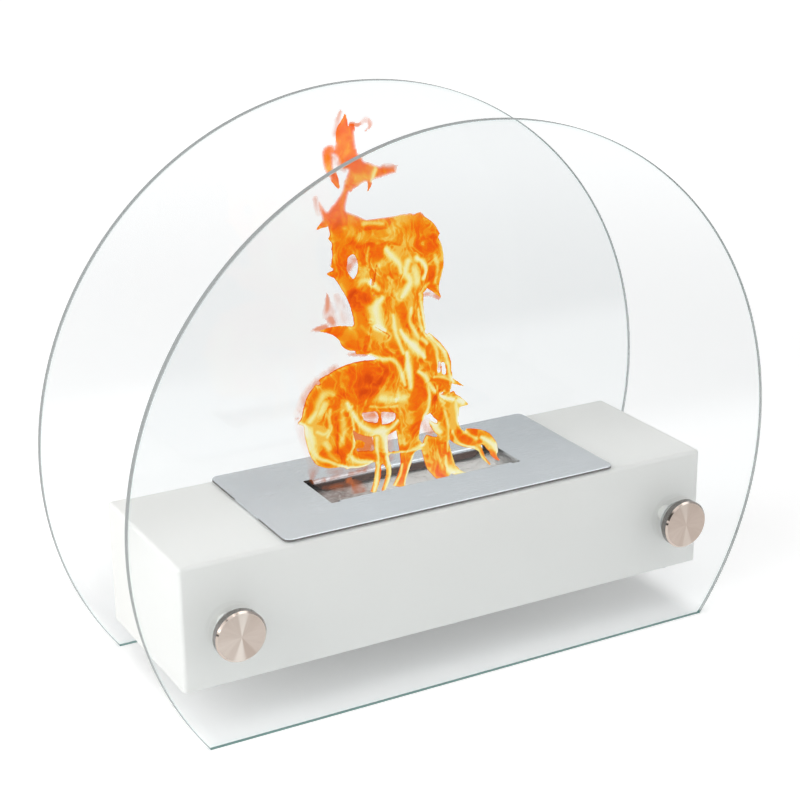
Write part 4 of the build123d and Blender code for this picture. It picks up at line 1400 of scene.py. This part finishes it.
baseScrew = {
    "headRadius": 2.8,
    "headHeight": 1.8,
    "crown": 1.2,
    "crownRings": 5,
    "shankRadius": 1.45,
    "threadDepth": 0.3,
    "pitch": 1.0,
    "stepsPerTurn": 20,
    "tip": 1.2,
    "tipShare": 0.4,
    "recessReach": 1.55,
    "recessWidth": 0.55,
    "recessDepth": 1.1,
    "secondSlot": 1.04,  # how much deeper the second slot of the cross is
    "sides": 28,
    "weld": 0.002,
    "smoothAngle": 30.0,
}
screwLengths = [
    "Head Radius", "Head Height", "Crown", "Shank Radius", "Thread Depth", "Pitch", "Tip",
    "Recess Reach", "Recess Width", "Recess Depth",
]


def baseScrewTree():
    wire, given = newTree("baseScrews", Float=screwLengths + ["Shank Length", "Span X", "Span Y", "Low Z"])
    radius, crown, top = given("Head Radius"), given("Crown"), given("Head Height")
    core = given("Shank Radius") - given("Thread Depth")
    end = top + given("Shank Length")
    profile = [(0.0, 0.0)]  # radius and height from the middle of the crown to the tip
    for step in range(baseScrew["crownRings"] + 1):
        lean = math.radians(90) * step / baseScrew["crownRings"]
        profile.append((radius - crown * (1 - math.sin(lean)), crown * (1 - math.cos(lean))))
    profile += [(radius, top), (core, top), (core, end - given("Tip"))]
    profile += [(baseScrew["tipShare"] * core, end), (0.0, end)]
    bands = []
    for (wide, low), (narrow, high) in zip(profile, profile[1:]):
        inputs = {"Vertices": baseScrew["sides"], "Radius Bottom": wide, "Radius Top": narrow}
        band = wire.node("GeometryNodeMeshCone", {"fill_type": "NONE"}, {**inputs, "Depth": high - low})
        bands.append(moved(wire, band, combined(wire, z=low)))
    whole = merged(wire, joined(wire, *bands), baseScrew["weld"])
    for turn, deeper in ((0, 1.0), (90, baseScrew["secondSlot"])):
        depth = 2.0 * deeper * given("Recess Depth")
        size = combined(wire, 2.0 * given("Recess Reach"), 2.0 * given("Recess Width"), depth)
        bar = moved(wire, wire.node("GeometryNodeMeshCube", {}, {"Size": size}), degrees=(0, 0, turn))
        inputs = {"Mesh 1": whole, "Mesh 2": bar}
        whole = wire.node("GeometryNodeMeshBoolean", {"operation": "DIFFERENCE"}, inputs)
    length = given("Shank Length") - given("Tip")
    spiral = wire.node("GeometryNodeCurveSpiral", {}, {
        "Resolution": baseScrew["stepsPerTurn"],
        "Rotations": length / given("Pitch"),
        "Start Radius": core,
        "End Radius": core,
        "Height": length,
    })
    ridge = tubeAlong(wire, spiral, ring(wire, 3, given("Thread Depth")))
    screw = joined(wire, whole, moved(wire, ridge, combined(wire, z=top)))
    inputs = {"Size X": 2.0 * given("Span X"), "Size Y": 2.0 * given("Span Y")}
    inputs.update({"Vertices X": 3, "Vertices Y": 2})
    spots = moved(wire, wire.node("GeometryNodeMeshGrid", {}, inputs), combined(wire, z=given("Low Z")))
    screws = wire.node("GeometryNodeInstanceOnPoints", {}, {"Points": spots, "Instance": screw})
    return endTree(wire, screws, finishes["zincSteel"])


def makeBaseScrews():
    low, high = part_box("base_screws")
    head = baseScrew["headRadius"] * mm
    piece = grown("baseScrewSet", baseScrewTree(), {
        "Shank Length": high.z - low.z - baseScrew["headHeight"] * mm,
        "Span X": high.x - head,
        "Span Y": high.y - head,
        "Low Z": low.z,
        **inMetres(baseScrew, screwLengths),
    })
    place(smoothed(piece, baseScrew["smoothAngle"]), "housing", "zinc_steel", "base_screws")
    print("base screws ready:", len(piece.data.polygons), "faces")


makeBaseScrews()


# pieces whose solids are right as they are

def turnedSteelOf(stand):
    low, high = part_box(f"{stand}_cap")
    centre = (low + high) / 2 / mm
    # each cap gets its own copy, and the right caps get weaker painted highlights and a darker face
    turned = turnedSteel["leftEnd" if stand.endswith("left") else "rightEnd"]
    return finishOf(f"turnedSteel_{stand}", lambda wire: turnedSteelSurface(wire, centre, *turned))


def dressNodes():
    copies = [
        ("housing_shell", "housingShell", finishes["powderCoat"], "white_powder_coat", "housing"),
        ("cover_plate", "coverPlate", finishes["polishedSteel"], "polished_steel", "cover"),
        ("fuel_tank", "fuelTank", finishes["tankSteel"], "tank_steel", "burner"),
    ]
    for stand in stands:
        cap, barrel = f"{stand}_cap", f"{stand}_barrel"
        copies += [
            (cap, f"{stand}CapDisc", turnedSteelOf(stand), "turned_steel", f"{cap}_body"),
            (barrel, f"{stand}BarrelTube", finishes["powderCoat"], "white_powder_coat", "housing"),
        ]
    for node, name, finish, slotName, body in copies:
        place(copyOfNode(node, name, finish), body, slotName, node)
    kept = {
        "powderCoat": ["base_panel"],
        "zincSteel": ["wall_bolts", "wall_washers"],
        "tankSteel": ["left_locating_bracket", "right_locating_bracket"],
        "nylon": ["front_glass_sleeves", "rear_glass_sleeves"],
        "clearPlastic": ["front_inner_washers", "rear_inner_washers"],
    }
    kept["clearPlastic"] += [f"{stand}_cap_washer" for stand in stands]
    for finish, nodes in kept.items():
        for node in nodes:
            paint(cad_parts[node].data, finishes[finish])


dressNodes()
print("metal pieces ready")
